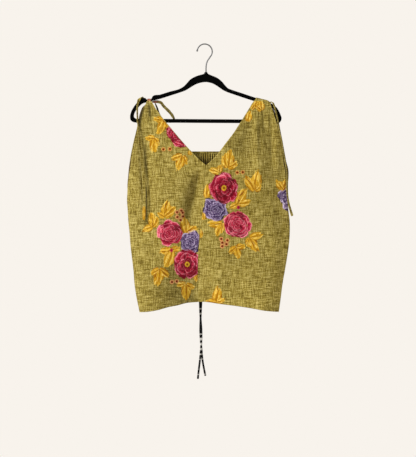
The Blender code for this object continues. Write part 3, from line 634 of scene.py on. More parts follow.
# The cloth's outer edges seen from the front, at each height
OUTLINE = Table(
    "z left right",
    (-150, -168, 185), (-174, -181, 193), (-187, -188, 200.5), (-200, -193, 206), (-230, -199.5, 216),
    (-256, -205, 219), (-280, -211, 221), (-303, -216, 226), (-329, -221, 232),
    (-349, -224, 238), (-364, -226, 242), (-387, -228, 243), (-410, -230, 241),
    (-430, -230, 239), (-456, -231, 241), (-484, -229, 242), (-519, -227, 246),
    (-557, -223, 246), (-584, -221, 244), (-620, -217, 239), (-662, -212, 232),
    (-702, -209, 225), (-741, -203, 220), (-785, -194, 214),
)
# The front's armhole edges, which lie a little inside the back's
FRONT_ARMHOLE = Table(
    "z left right",
    (-150, -168, 184), (-171, -175, 189), (-187, -184.5, 195), (-208, -192, 201),
    (-234, -197, 210), (-256, -201, 216), (-280, -206, 219), (-309, -213, 224),
    (-353, -220, 229), (-366, -222, 232), (-387, -225, 235), (-412, -228, 236),
    (-437, -230, 238), (-456, -231, 241),
)
# The front's neck edges, down to the point of the V
FRONT_NECK = Table(
    "z left right",
    (-150, -171, 154), (-159, -165, 147.5), (-170, -157, 138.5), (-189, -146, 126.5),
    (-205, -134, 116.5), (-222, -121.5, 106), (-239, -107, 95), (-262, -88, 80),
    (-290, -64, 58.5), (-314, -42, 40.5), (-340, -17, 17.5), (-354, 1, 1),
)
# The centre-front seam
FRONT_SEAM = Table(
    "z x", (-354, 1), (-390, -2), (-426, -6), (-500, -11), (-559, -18), (-632, -22), (-785, -23)
)
# The back's neck edges, above the casing's ends
BACK_NECK = Table(
    "z left right",
    (-150, -170, 150), (-168, -163, 146), (-205, -141, 124), (-262, -102, 88),
    (-300, -70, 69), (-312, -61.5, 61.5), (-321, -60.4, 60.4),
)
# The hem's lower edge
HEM = Table(
    "x z",
    (-235, -787), (-194, -785), (-173, -784), (-142, -779), (-110, -770), (-84, -765),
    (-58, -758), (-29, -755), (-3, -754), (42, -760), (82, -765), (140, -774),
    (166, -779), (214, -784), (250, -785),
)
# The middle of the cloth where it lies over the hanger's right arm
SADDLE = Table(
    "x z",
    (140, -153.6), (148, -155.4), (156, -157), (164, -159.2), (172, -161), (180, -163.2),
    (185, -166), (189.5, -169.6), (194, -173.6),
)
# How far the front and the back stand out at mid-width
DEPTH = Table(
    "z front back",
    (-150, 0, 0), (-165, 0, 0), (-200, 3, 2.5), (-260, 10, 7), (-320, 18, 12),
    (-390, 26, 19), (-456, 32, 24), (-600, 36, 28), (-700, 35, 27), (-790, 33, 25),
)

# %% Tables of the folds
# From one point to another, half the width on the side of smaller x and on the other, and the
# rise (below nothing for a valley)
FRONT_FOLDS = (
    (-186, -232, -172, -520, 11, 20, -8.0),
    (-18, -374, -52, -545, 16, 34, -19.0),
    (-40, -430, -66, -590, 24, 26, -10.0),
    (-90, -630, -108, -860, 50, 44, -15.0),
    (-28, -620, -28, -900, 50, 34, -20.0),
    (147, -160, 158, -410, 15, 25, 10.0),
    (207, -200, 212, -385, 10, 9, 5.0),
    (112, -214, 40, -330, 11, 44, 9.0),
    (228, -350, 232, -570, 32, 12, -6.0),
    (-150, -250, -130, -470, 24, 24, 2.5),
    (60, -470, 42, -700, 28, 28, 2.5),
    (200, -500, 212, -900, 80, 22, 14.0),
)
FRONT_CREASES = (
    # finer ones, which only the cloth's shell has
    (-192, -235, -176, -480, 5, 9, -2.5),
    (-167, -158, -163, -238, 5, 6, -5.0),
    (-175, -200, -178, -275, 5, 6, -1.6),
    (-17, -368, -46, -485, 5, 10, -4.5),
    (190, -190, 194, -350, 5, 7, -3.4),
    (156, -186, 158, -345, 6, 7, -3.4),
    (-175.5, -405, -174.5, -530, 2.5, 4, -3.5),
    (-160, -196, -150, -300, 6, 6, -1.0),
    (-139, -240, -146, -330, 7, 7, 0.8),
    (-60, -420, -88, -500, 9, 9, 0.9),
    (-200, -470, -212, -560, 6, 6, -0.9),
    (-150, -560, -160, -660, 8, 8, -0.9),
    (-120, -690, -150, -770, 7, 7, -1.2),
    (-60, -700, -66, -762, 8, 8, 1.2),
    (-26, -560, -24, -700, 4, 4, -1.6),
    (166, -180, 172, -262, 4, 4, -1.3),
    (176, -178, 184, -250, 4, 4, 0.9),
    (198, -230, 204, -330, 5, 5, -1.2),
    (143, -250, 146, -330, 5, 5, -0.9),
    (120, -232, 108, -300, 6, 6, -0.9),
    (60, -330, 78, -420, 8, 8, 0.7),
    (218, -380, 222, -480, 6, 6, -1.2),
    (190, -420, 196, -560, 8, 8, 1.0),
    (28, -624, 132, -617, 4, 6, -3.2),
    (225, -560, 214, -700, 8, 8, -1.0),
    (120, -650, 132, -760, 10, 10, 0.9),
    (70, -640, 60, -750, 9, 9, -0.8),
)
FRONT_SHADES = (
    # painted shade and painted light on the front's cloth: the last value is the share of its light that
    # it loses, and below 0 it is painted lighter
    (-96, -630, -80, -860, 44, 54, 0.40),
    (-46, -680, -36, -860, 26, 12, 0.26),
    (-44, -380, -66, -575, 32, 30, 0.20),
    (-198, -225, -186, -430, 14, 11, 0.18),
    (-167, -172, -164, -218, 3.5, 4.5, 0.60),
    (-176, -168, -172, -212, 13, 13, 0.10),
    (-182, -172, -198, -244, 6, 5, 0.80),
    (-174.4, -405, -172.8, -527, 3.4, 2.8, 0.95),
    (-178, -290, -174.5, -405, 5.0, 5.0, 0.45),
    (160, -180, 160, -350, 11, 12, 0.16),
    (112, -220, 66, -330, 22, 34, 0.13),
    (0, -748, 215, -775, 26, 26, -0.16),
    (218, -530, 218, -800, 30, 30, -0.42),
    (100, -640, 100, -770, 90, 50, -0.10),
    (150, -690, 150, -780, 60, 60, -0.10),
    (-180, -240, -178, -380, 30, 30, 0.07),
    (116, -230, 112, -330, 34, 34, 0.08),
    (218, -440, 221, -640, 22, 22, -0.09),
)
BACK_FOLDS = (
    (-168, -190, -160, -420, 13, 13, -2.5),
    (-110, -300, -125, -560, 20, 20, 3.0),
    (-40, -420, -75, -700, 22, 22, -2.5),
    (48, -430, 80, -690, 22, 22, -2.5),
    (112, -300, 130, -600, 20, 20, 3.0),
    (170, -200, 178, -420, 13, 13, -2.5),
    (8, -480, 4, -740, 26, 26, 2.5),
    (-150, -600, -160, -780, 18, 18, -3.0),
    (158, -610, 150, -780, 18, 18, -3.0),
)
BACK_CREASES = (
    (-52, -350, -66, -430, 6, 6, -1.0),
    (-22, -352, -30, -440, 5, 5, 0.9),
    (14, -350, 18, -420, 6, 6, -0.9),
    (40, -352, 52, -450, 6, 6, 0.9),
    (-178, -230, -196, -360, 6, 9, -1.4),
    (186, -240, 200, -350, 9, 6, -1.4),
    (-200, -470, -188, -600, 8, 8, -1.1),
    (206, -480, 196, -610, 8, 8, -1.1),
    (-90, -560, -112, -690, 9, 9, 1.0),
    (96, -590, 110, -720, 9, 9, 1.0),
    (20, -640, -60, -652, 6, 6, -0.8),
    (-20, -700, -24, -760, 7, 7, -1.0),
)


# %% Depth of the cloth
FOLD_END_SHARE = 0.35  # of a fold's length, over which it rises
FOLD_END_START = 0.3  # how far it has risen where its line begins
SHADE_LIMITS = (-0.5, 0.85)
EDGE_EASE = 60.0  # the height over which the edges part above the side seams
LENS_POWER = 0.7
FOLDS_FULL_AT = 0.5  # the lens's share from which folds have their whole height
FOLDS_BEGIN_Z = -165.0
FOLDS_EASE = 40.0
CRUMPLE_SEEDS = {"front": 21, "back": 22}
CRUMPLE_WAVES = 12
CRUMPLE_LENGTHS = (22, 75)
CRUMPLE_SLOPE = 0.0032  # a wave's height is this share of its length
SHOULDER_PLEATS = (
    # side, height, pleats, phase, lower end and its ease, upper end and its ease
    ("left", 1.3, 2.6, 0.6, -300, 90, -166, 22),
    ("right", 0.9, 3.3, 1.9, -330, 110, -178, 25),
)


def edge_blend(z):
    """Edges' distance from y = 0: small at the side seams, s^2(3 - 2s) up to the armholes'."""
    share = smooth_step(z, ARMHOLE_BOTTOM_Z, ARMHOLE_BOTTOM_Z + EDGE_EASE)
    return SEAM_HALF_GAP + (CLOTH_TO_ARM - SEAM_HALF_GAP) * share


def folds_at(folds, x, z):
    """Sum of soft ridges: rise * exp(-(across / half width)^2), faded at each fold's two ends."""
    total = np.zeros(np.broadcast(x, z).shape)
    for x0, z0, x1, z1, half_left, half_right, rise in folds:
        length = math.hypot(x1 - x0, z1 - z0)
        along_x = (x1 - x0) / length
        along_z = (z1 - z0) / length
        along = (x - x0) * along_x + (z - z0) * along_z
        across = (x - x0) * along_z - (z - z0) * along_x
        inside = np.minimum(along, length - along) / (FOLD_END_SHARE * length) + FOLD_END_START
        inside = np.clip(inside, 0, 1)
        half_width = np.where(across > 0, half_left, half_right)
        total = total + rise * inside**2 * (3 - 2 * inside) * np.exp(-((across / half_width) ** 2))
    return total


def front_shade(x, z):
    """The front's painted shade at a point, as the share of its light that it loses; below 0 it is
    painted light.
    """
    return np.clip(folds_at(FRONT_SHADES, x, z), *SHADE_LIMITS)


def crumple(side, x, z):
    """Slight unevenness of worn linen: a sum of long, shallow sine waves in many directions."""
    draw = np.random.default_rng(CRUMPLE_SEEDS[side])
    total = np.zeros(np.broadcast(x, z).shape)
    for _ in range(CRUMPLE_WAVES):
        length = draw.uniform(*CRUMPLE_LENGTHS)
        angle = draw.uniform(0, math.pi)
        phase = draw.uniform(0, 2 * math.pi)
        wave = np.sin(2 * math.pi * (x * math.cos(angle) + z * math.sin(angle)) / length + phase)
        total = total + CRUMPLE_SLOPE * length * wave
    return total


def shoulder_pleats(x, z):
    """Small pleats below the front's narrow shoulders: cosines across that fade downwards."""
    total = 0.0
    for side, rise, pleats, phase, low_z, low_ease, top_z, top_ease in SHOULDER_PLEATS:
        neck = FRONT_NECK.at(side, z)
        share = (x - neck) / (FRONT_ARMHOLE.at(side, z) - neck)
        fade = np.clip((z - low_z) / low_ease, 0, 1) * np.clip((top_z - z) / top_ease, 0, 1)
        wave = rise * fade * np.cos(2 * math.pi * pleats * share + phase)
        total = total + np.where((x < 0) == (side == "left"), wave, 0)
    return total


def plain_depth(side, x, z):
    """Depth e(1 - lens) + d lens, with lens = (1 - t^2)^0.7 and t = -1 to 1 across, and the
    share to which folds are let in."""
    left = OUTLINE.at("left", z)
    right = OUTLINE.at("right", z)
    t = np.clip((2 * x - left - right) / (right - left), -1, 1)
    lens = (1 - t * t) ** LENS_POWER
    settled = np.clip(lens / FOLDS_FULL_AT, 0, 1) * np.clip((FOLDS_BEGIN_Z - z) / FOLDS_EASE, 0, 1)
    return edge_blend(z) * (1 - lens) + (CLOTH_TO_ARM + DEPTH.at(side, z)) * lens, settled


def cloth_y(side, x, z):
    """The plain depth and its folds, towards the viewer on the front.

    A valley is room * tanh(valley / room) deep, so it never reaches the hanger behind the cloth.
    """
    main, fine = (FRONT_FOLDS, FRONT_CREASES) if side == "front" else (BACK_FOLDS, BACK_CREASES)
    folds = folds_at(main, x, z) + folds_at(fine, x, z) + crumple(side, x, z)
    if side == "front":
        folds = folds + shoulder_pleats(x, z)
    plain, settled = plain_depth(side, x, z)
    room = np.maximum(plain - np.minimum(edge_blend(z) + 0.3, CLOTH_TO_ARM), 0.2)
    depth = plain + np.where(folds < 0, -room * np.tanh(-folds * settled / room), folds * settled)
    return -depth if side == "front" else depth


def with_hem(x, z):
    """Heights of a row's points: the lower rows bend down to the hem's curve."""
    share = np.clip((HEM_EASE_Z - z) / (HEM_EASE_Z - HEM_Z), 0, 1) ** 2
    return z + (HEM.at("z", x) - HEM_Z) * share


def outer_edge(side, name, z):
    """The panel's outer edge: the front's own armhole above the side seam, else the outline."""
    z = np.asarray(z, float)
    if side == "front":
        return np.where(z > ARMHOLE_BOTTOM_Z, FRONT_ARMHOLE.at(name, z), OUTLINE.at(name, z))
    return OUTLINE.at(name, z)


# %% [markdown]
# ## Cloth shells
#
# A panel is a grid: one parameter runs from its inner edge to its outer edge, the other from the
# hem to the shoulder. The grid is finer at both edges, where the eye looks. The edges are folded
# under and stitched, so the cloth stands a little proud along them, and wear makes them paler.
# The shell gets its thickness from Solidify, with the wrong side of the cloth inside.

# %% Front panels
SHELL = 0.9
FRONT_COLUMNS = 118
FRONT_LOWER_ROWS = 158
FRONT_UPPER_ROWS = 84
SADDLE_ROWS = 15
DROP_ROWS = 4
EDGE_FOLD = (4.0, 5.6)  # the folded edge's step down lies between these distances
NECK_EASE = (-2, 6)  # the neck's fold begins between these heights over the neck point
ARMHOLE_EASE = 25
EDGE_RISE = 0.45  # how far it stands proud
WEAR_WIDTH = 1.6  # of the pale line along a folded edge
ARMHOLE_WEAR_WIDTH = 1.8
SEAM_WIDTH = 1.6
SEAM_DIP = 1.1  # how far the centre seam draws the cloth in
NECK_SLANT = 0.75  # a level distance times this is square to the slanting neck


def both_ends_spaced(count, amount=0.62):
    """Shares from 0 to 1, closer at both ends: even - amount * sin(2 pi even) / 2 pi."""
    even = np.arange(count + 1) / count
    return even - amount * np.sin(2 * math.pi * even) / (2 * math.pi)


def edge_profile(distance):
    """1 on the folded edge, falling to 0 past the line of stitches that holds it."""
    return 1 - smooth_step(distance, *EDGE_FOLD)


def shell_uv(points, from_column=0):
    """UV in metres: the cloth's own length across, from one column, and its height."""
    steps = np.diff(points[..., :2], axis=1)
    steps = np.sign(steps[..., 0]) * np.linalg.norm(steps, axis=-1)
    across = np.concatenate([np.zeros((len(points), 1)), np.cumsum(steps, axis=1)], axis=1)
    across = across + (points[..., 0] - across)[:, from_column, None]
    return np.stack([across, points[..., 2]], axis=-1) * MM


def give_wall(piece, inside):
    """Solidify the sheet about its middle, and use the second material on the inside."""
    piece.data.materials.append(inside)
    wall = piece.modifiers.new("wall", "SOLIDIFY")
    wall.thickness = SHELL * MM
    wall.offset = 0.0
    wall.use_even_offset = False
    wall.material_offset = 1
    wall.material_offset_rim = 0


def bent_to_saddle(x, z, share, climbed, tops, drop):
    """Rows that turn into the curve of the cloth over the arm, by the cube of what they climbed."""
    straight = tops[0] + (tops[1] - tops[0]) * share
    return z + (SADDLE.at("z", x) - drop - straight) * climbed**3


def front_points(side):
    """Rows of points of one half of the front, and each point's distance from its two edges."""
    share = both_ends_spaced(FRONT_COLUMNS)[None, :]
    towards_seam = -0.5 * SEAM_GAP if side == "left" else 0.5 * SEAM_GAP
    z = np.linspace(HEM_Z, NECK_POINT_Z, FRONT_LOWER_ROWS + 1)[:, None]
    inner = FRONT_SEAM.at("x", z) + towards_seam
    outer = outer_edge("front", side, with_hem(outer_edge("front", side, z), z))
    lower_x = inner + (outer - inner) * share
    lower_z = with_hem(lower_x, z)
    tops = (STRAP_FRONT_Z, STRAP_FRONT_Z)
    if side == "right":
        tops = SADDLE.at("z", (SADDLE_FROM_X, SADDLE_TO_X)) - CLOTH_TO_ARM
    s = (np.arange(1, FRONT_UPPER_ROWS + 1) / FRONT_UPPER_ROWS)[:, None]
    inner_z, outer_z = (NECK_POINT_Z + (top - NECK_POINT_Z) * s for top in tops)
    inner = FRONT_NECK.at(side, inner_z) + towards_seam * (1 - s)
    x = inner + (outer_edge("front", side, outer_z) - inner) * share
    z = inner_z + (outer_z - inner_z) * share
    if side == "right":
        z = bent_to_saddle(x, z, share, s, tops, CLOTH_TO_ARM)
    x = np.concatenate([lower_x, x])
    z = np.concatenate([lower_z, z])
    from_inner = np.abs(x - x[:, :1]) * np.where(z > NECK_POINT_Z, NECK_SLANT, 1.0)
    return x, z, from_inner, np.abs(x - x[:, -1:])


def over_the_arm(x, front_y):
    """The right half's rows over the hanger's arm: half a circle, then straight down behind."""
    ridge = SADDLE.at("z", x)
    turn = (math.pi * np.arange(1, SADDLE_ROWS) / (SADDLE_ROWS - 1))[:, None]
    round_y = -CLOTH_TO_ARM * np.cos(turn) + (front_y + CLOTH_TO_ARM) * np.cos(0.5 * turn) ** 2
    round_z = ridge - CLOTH_TO_ARM * (1 - np.sin(turn))
    down = (np.arange(1, DROP_ROWS + 1) / DROP_ROWS)[:, None]
    down_z = ridge - CLOTH_TO_ARM + (CLOTH_TO_ARM - SHOULDER_SEAM_DROP) * down
    y = np.concatenate([round_y, np.full_like(down_z, CLOTH_TO_ARM)])
    z = np.concatenate([round_z, down_z])
    return np.stack([np.broadcast_to(x, y.shape), y, z], axis=-1)


def front_panel(side):
    """One half of the front: depth(x, z), proud along its neck and armhole edges."""
    x, z, from_inner, from_outer = front_points(side)
    neck = smooth_step(z - NECK_POINT_Z, *NECK_EASE)
    armhole = smooth_step(z, ARMHOLE_BOTTOM_Z, ARMHOLE_BOTTOM_Z + ARMHOLE_EASE)
    fold = edge_profile(from_inner) * neck + edge_profile(from_outer) * armhole
    seam = (1 - neck) * bell(from_inner, SEAM_WIDTH)
    y = cloth_y("front", x, z) - EDGE_RISE * np.clip(fold, 0, 1) + SEAM_DIP * seam
    wear = bell(from_inner, WEAR_WIDTH) * neck + bell(from_outer, ARMHOLE_WEAR_WIDTH) * armhole
    points = np.stack([x, y, z], axis=-1)
    if side == "right":
        over = over_the_arm(x[-1], y[-1])
        points = np.concatenate([points, over])
        wear = np.concatenate([wear, np.repeat(wear[-1:], len(over), axis=0)])
    uv = shell_uv(points)
    if side == "right":
        rows = len(x)
        lengths = np.linalg.norm(np.diff(points, axis=0), axis=-1).cumsum(axis=0)
        uv[rows:, :, 1] = uv[rows - 1, :, 1] + (lengths[rows - 1 :] - lengths[rows - 2]) * MM
    faces = grid_faces(*points.shape[:2])
    if side == "left":
        faces = faces[:, ::-1]
    # painted shade and painted light from FRONT_SHADES go onto the front's colour
    marks = {"edge": wear, "deep": front_shade(points[..., 0], points[..., 2])}
    piece = make_piece(f"front_{side}_cloth", points, faces, linen, uv=uv, marks=marks)
    give_wall(piece, linen_inside)
    return dress(piece, f"front_{side}")


fronts = {side: front_panel(side) for side in ("left", "right")}

# %% [markdown]
# ## The gathered back
#
# The back is one wide panel. Under the neck its fullness is drawn up on a cord into 18 small
# gathers, which fan out and fade lower down. The gathers are a wave across the middle block of the
# grid, of uneven height. Two narrow stretches of the same panel climb to the shoulders.

# %% Back panel
GATHERS = 18
GATHER_RISE = 1.8
GATHER_PEAK = 3.8  # of the shell's own, sharper gathers
GATHERED_HALF_WIDTH = 60.4
GATHERED_SPREAD = 14.0
SIDE_COLUMNS = 34
COLUMNS_PER_GATHER = 8
BACK_ROW_COUNT = 166
STRAP_ROW_COUNT = 44
BACK_TOP_Z = CASING_TOP_Z - CASING_HEIGHT
BEHIND_CASING = 2.0  # how far the back reaches up behind the casing
SIDE_BULGE = (6.5, -191, 22)  # further out beside the right tie: by, at z, half the height
HEM_FOLD = (10, 14)  # the turned hem of the back's armholes ends between these distances
GATHER_HEIGHTS = (0.7, 1.12)
GATHER_ENDS = 24  # the wave fades over 1/24 of its width at either end
# painted shade on the back's wrong side: under the neck, in the gathers' hollows and on the straps
NECK_SHADOW = (0.6, 333, 352, -420, -390)  # share, then where it begins and ends below the neck
PLEAT_SHADOW = (0.85, -0.3, 0.8)  # share, and the wave's levels between which it deepens
DEEPEST_SHADOW = 0.93
STRAP_SHADOW = (0.72, -246, -232)  # of the straps' wrong side, where the photo's is brown
BACK_HEM_Z = (-240, -228)  # the armholes' turned hem ends between these heights
GATHER_FADE = Table(
    "z share", (-300, 0), (-321, 0.45), (-328, 1), (-345, 0.85), (-372, 0.35), (-410, 0)
)


def gather_wave(phase, z):
    """Cosine across the gathers, sharpened, each with its own height, faded at the two ends."""
    draw = np.random.default_rng(31)
    heights = draw.uniform(*GATHER_HEIGHTS, GATHERS + 1)
    uneven = np.interp(phase, np.linspace(0, 1, GATHERS + 1), heights)
    wave = np.cos(2 * math.pi * GATHERS * phase)
    sharp = 0.8 * wave + 0.2 * wave * np.abs(wave)
    inside = (phase > 0) & (phase < 1)
    ends = np.clip(np.minimum(phase, 1 - phase) * GATHER_ENDS, 0, 1)
    return np.where(inside, GATHER_PEAK * GATHER_FADE.at("share", z) * sharp * ends * uneven, 0)


def edge_spaced(count):
    """Shares from 0 to 1 that stand closer near 1, where the cloth turns round the side."""
    even = np.arange(count + 1) / count
    return 0.6 * even + 0.4 * np.sin(0.5 * math.pi * even)


def back_body():
    """The back below its casing: side block, gathered block, side block, down to the hem."""
    t = np.linspace(0, 1, BACK_ROW_COUNT + 1)[:, None]
    top = BACK_TOP_Z + BEHIND_CASING
    z = top + (HEM_Z - top) * (0.45 * t + 0.55 * t * t)
    left, right = (OUTLINE.at(edge, with_hem(OUTLINE.at(edge, z), z)) for edge in ("left", "right"))
    spread = np.clip((BACK_TOP_Z - z) / (BACK_TOP_Z - HEM_Z), 0, 1)
    inner = GATHERED_HALF_WIDTH + GATHERED_SPREAD * spread
    side = edge_spaced(SIDE_COLUMNS)[None, :]
    left_x = (-inner + (left + inner) * side)[:, ::-1]
    middle_x = -inner + 2 * inner * np.linspace(0, 1, GATHERS * COLUMNS_PER_GATHER + 1)[None, :]
    right_x = inner + (right - inner) * side
    x = np.concatenate([left_x[:, :-1], middle_x, right_x[:, 1:]], axis=1)
    row_z = with_hem(x, z)
    y = cloth_y("back", x, row_z) + gather_wave((x + inner) / (2 * inner), row_z)
    return np.stack([x, y, row_z], axis=-1)


def back_strap(side):
    """The stretch of the back from the casing's end up to the shoulder seam."""
    s = (np.arange(STRAP_ROW_COUNT + 1) / STRAP_ROW_COUNT)[:, None]
    start_z = BACK_TOP_Z - 0.4
    tops_x = (STRAP_TO_X, STRAP_FROM_X)
    tops = (STRAP_BACK_Z, STRAP_BACK_Z)
    late = smooth_step(s, 0.9, 1.0)
    if side == "right":
        seam_drop = SHOULDER_SEAM_DROP + SEAM_GAP
        tops_x = (SADDLE_FROM_X, SADDLE_TO_X)
        tops = SADDLE.at("z", tops_x) - seam_drop
        late = s**3
    inner_z, outer_z = (start_z + (top - start_z) * s for top in tops)
    inner = BACK_NECK.at(side, inner_z) + (tops_x[0] - BACK_NECK.at(side, tops[0])) * s**3
    outer = OUTLINE.at(side, outer_z) + (tops_x[1] - OUTLINE.at(side, tops[1])) * late
    if side == "right":
        bulge, bulge_z, bulge_half = SIDE_BULGE
        outer = outer + bulge * bell(outer_z - bulge_z, bulge_half)
    share = edge_spaced(SIDE_COLUMNS)[None, :]
    x = inner + (outer - inner) * share
    z = inner_z + (outer_z - inner_z) * share
    if side == "right":
        z = bent_to_saddle(x, z, share, s, tops, seam_drop)
    from_inner = np.abs(x - x[:, :1]) * NECK_SLANT
    y = cloth_y("back", x, z) + EDGE_RISE * edge_profile(from_inner) * smooth_step(s, 0.05, 0.2)
    return np.stack([x, y, z], axis=-1), from_inner


def armhole_hem(x, z):
    """1 on the turned hem along the lower armholes of the back, falling softly to 0 inside it."""
    from_edge = np.minimum(x - OUTLINE.at("left", z), OUTLINE.at("right", z) - x)
    low = smooth_step(z, ARMHOLE_BOTTOM_Z, ARMHOLE_BOTTOM_Z + 20)
    return (1 - smooth_step(from_edge, *HEM_FOLD)) * low * (1 - smooth_step(z, *BACK_HEM_Z))


def body_painted_shade(body):
    """Painted shade of each point of the body: in the gathers' hollows and under the neck."""
    x, z = body[..., 0], body[..., 2]
    half = np.abs(x[:, SIDE_COLUMNS, None])
    hollow = gather_wave((x + half) / (2 * half), z) / GATHER_PEAK
    neck_share, begins, full, lowest, fades = NECK_SHADOW
    under_neck = smooth_step(-z, begins, full) * smooth_step(z, lowest, fades)
    pleat_share, *levels = PLEAT_SHADOW
    deep = pleat_share * smooth_step(hollow, *levels) + neck_share * under_neck
    return np.clip(deep, 0, DEEPEST_SHADOW)


def make_back():
    """The body and the two straps as one mesh, whose shared edges are joined."""
    body = back_body()
    ungathered = body.copy()
    ungathered[..., 1] = cloth_y("back", body[..., 0], body[..., 2])
    # each block: points, faces, uv in metres, wear, painted shade
    body_uv = shell_uv(ungathered, body.shape[1] // 2)
    no_wear = np.zeros(body.shape[:2])
    blocks = [(body, grid_faces(*body.shape[:2]), body_uv, no_wear, body_painted_shade(body))]
    for side, turn in (("left", 1), ("right", -1)):
        strap, from_inner = back_strap(side)
        strap_faces = grid_faces(*strap.shape[:2])[:, ::turn]
        dark = STRAP_SHADOW[0] * smooth_step(strap[..., 2], *STRAP_SHADOW[1:])
        blocks.append((strap, strap_faces, shell_uv(strap), bell(from_inner, WEAR_WIDTH), dark))
    counts = [block[0].size // 3 for block in blocks]
    firsts = np.cumsum([0] + counts[:-1])
    faces = np.concatenate([block[1] + first for block, first in zip(blocks, firsts)])
    points = np.concatenate([block[0].reshape(-1, 3) for block in blocks])
    uv = np.concatenate([block[2].reshape(-1, 2) for block in blocks])
    wear, pleat = (np.concatenate([block[i].ravel() for block in blocks]) for i in (3, 4))
    # the pleat mark carries painted shade: the gathers' hollows, under the neck and the straps' wrong
    # side
    marks = {"edge": wear, "hem": armhole_hem(points[:, 0], points[:, 2]), "pleat": pleat}
    piece = make_piece("back_cloth", points, faces, linen, uv=uv, marks=marks)
    merge_points(piece)
    give_wall(piece, linen_inside)
    return dress(piece, "back_panel")


back = make_back()

# %% [markdown]
# ## The casing and the left strap
#
# The band along the back's neck is cloth folded over the cord, so it is a soft tube with a flat
# face, rippled by the gathers below it. The left shoulder is so narrow that it is only a strap,
# which lies in the hanger's notch. A bit of a printed petal shows on it.

# %% Casing
CASING_RINGS = 260
CASING_SIDES = 28
CASING_STITCH_LINE = (0.35, -0.55, 0.12)  # depth, place and half width across the band
CASING_RIPPLE = 0.20


def make_casing():
    """An oblong |cos|^0.45, |sin|^0.6 carried along the back's neck, rippled by the gathers."""
    x = np.linspace(-CASING_HALF_WIDTH, CASING_HALF_WIDTH, CASING_RINGS)
    middle_z = CASING_TOP_Z - CASING_HEIGHT / 2
    line = np.column_stack([x, cloth_y("back", x, middle_z), np.full_like(x, middle_z)])
    width = np.tile((0.0, 0.0, 1.0), (len(x), 1))
    normal = unit(np.cross(np.gradient(line, axis=0), width))
    up, out = oblong(CASING_SIDES, 0.45, 0.6)
    ripple = np.cos(2 * math.pi * GATHERS * (x + CASING_HALF_WIDTH) / (2 * CASING_HALF_WIDTH))
    lower = 0.5 - 0.5 * up
    depth, place, half_width = CASING_STITCH_LINE
    stitched = 1 - depth * bell(up - place, half_width)
    swell = 1 + CASING_RIPPLE * ripple[:, None] * lower
    half_height = 0.5 * CASING_HEIGHT * np.broadcast_to(up, (len(x), CASING_SIDES))
    half_thickness = 0.5 * CASING_THICKNESS * out * stitched * swell
    rings = sweep(line, width, normal, half_height, half_thickness)
    uv = tube_uv(rings, 2 * CASING_HEIGHT)[..., ::-1]
    return dress(make_tube("neck_casing", rings, casing_linen, uv=uv), "back_neck_casing")


make_casing()

# %% Left strap
STRAP_COLUMNS = 20
STRAP_PLEATS = 2.5
STRAP_PLEAT_RISE = 0.35
PRINTED_PETAL = (-1.0, 5.0)  # its middle and half its width over the ridge


def make_strap():
    """Cloth over the notch: up the front, round by a half circle, and down behind."""
    turn = np.linspace(0, math.pi, 25)
    arc_y = -CLOTH_TO_ARM * np.cos(turn)
    arc_z = STRAP_RIDGE_Z - CLOTH_TO_ARM * (1 - np.sin(turn))
    front_z = np.linspace(STRAP_FRONT_Z + 0.2, arc_z[0], 5)[:-1]
    back_z = np.linspace(arc_z[-1], STRAP_BACK_Z + 0.2, 7)[1:]
    y = np.concatenate([np.full(4, -CLOTH_TO_ARM), arc_y, np.full(6, CLOTH_TO_ARM)])[:, None]
    z = np.concatenate([front_z, arc_z, back_z])[:, None]
    share = np.linspace(0, 1, STRAP_COLUMNS + 1)[None, :]
    x = STRAP_FROM_X + (STRAP_TO_X - STRAP_FROM_X) * share + 0 * y
    pleat = STRAP_PLEAT_RISE * np.cos(2 * math.pi * STRAP_PLEATS * share)
    outwards_y = y / CLOTH_TO_ARM
    points = np.stack([x, y + pleat * outwards_y, z + pleat * (1 - np.abs(outwards_y))], axis=-1)
    petal = bell(y - PRINTED_PETAL[0], PRINTED_PETAL[1]) * (0.6 + 0.4 * share)
    faces = grid_faces(*points.shape[:2])
    marks = {"blush": np.clip(petal, 0, 1), "edge": np.abs(2 * share - 1) ** 6 + 0 * y}
    uv = shell_uv(points)
    piece = make_piece("left_strap_cloth", points, faces, linen, uv=uv, marks=marks)
    give_wall(piece, linen)
    dress(piece, "left_shoulder_strap")


make_strap()

# %% [markdown]
# ## The knot
#
# The tie is knotted once beside the strap. The knot is small, so it is one lying egg of cloth with
# the turns of the ribbon as slanting swells round it.

# %% Knot
KNOT_CENTRE = (-149.4, 5.6, -167.6)
KNOT_RADII = (10.0, 2.9, 3.1)
KNOT_RINGS = 70
KNOT_SIDES = 36
KNOT_SHADOW = 0.38


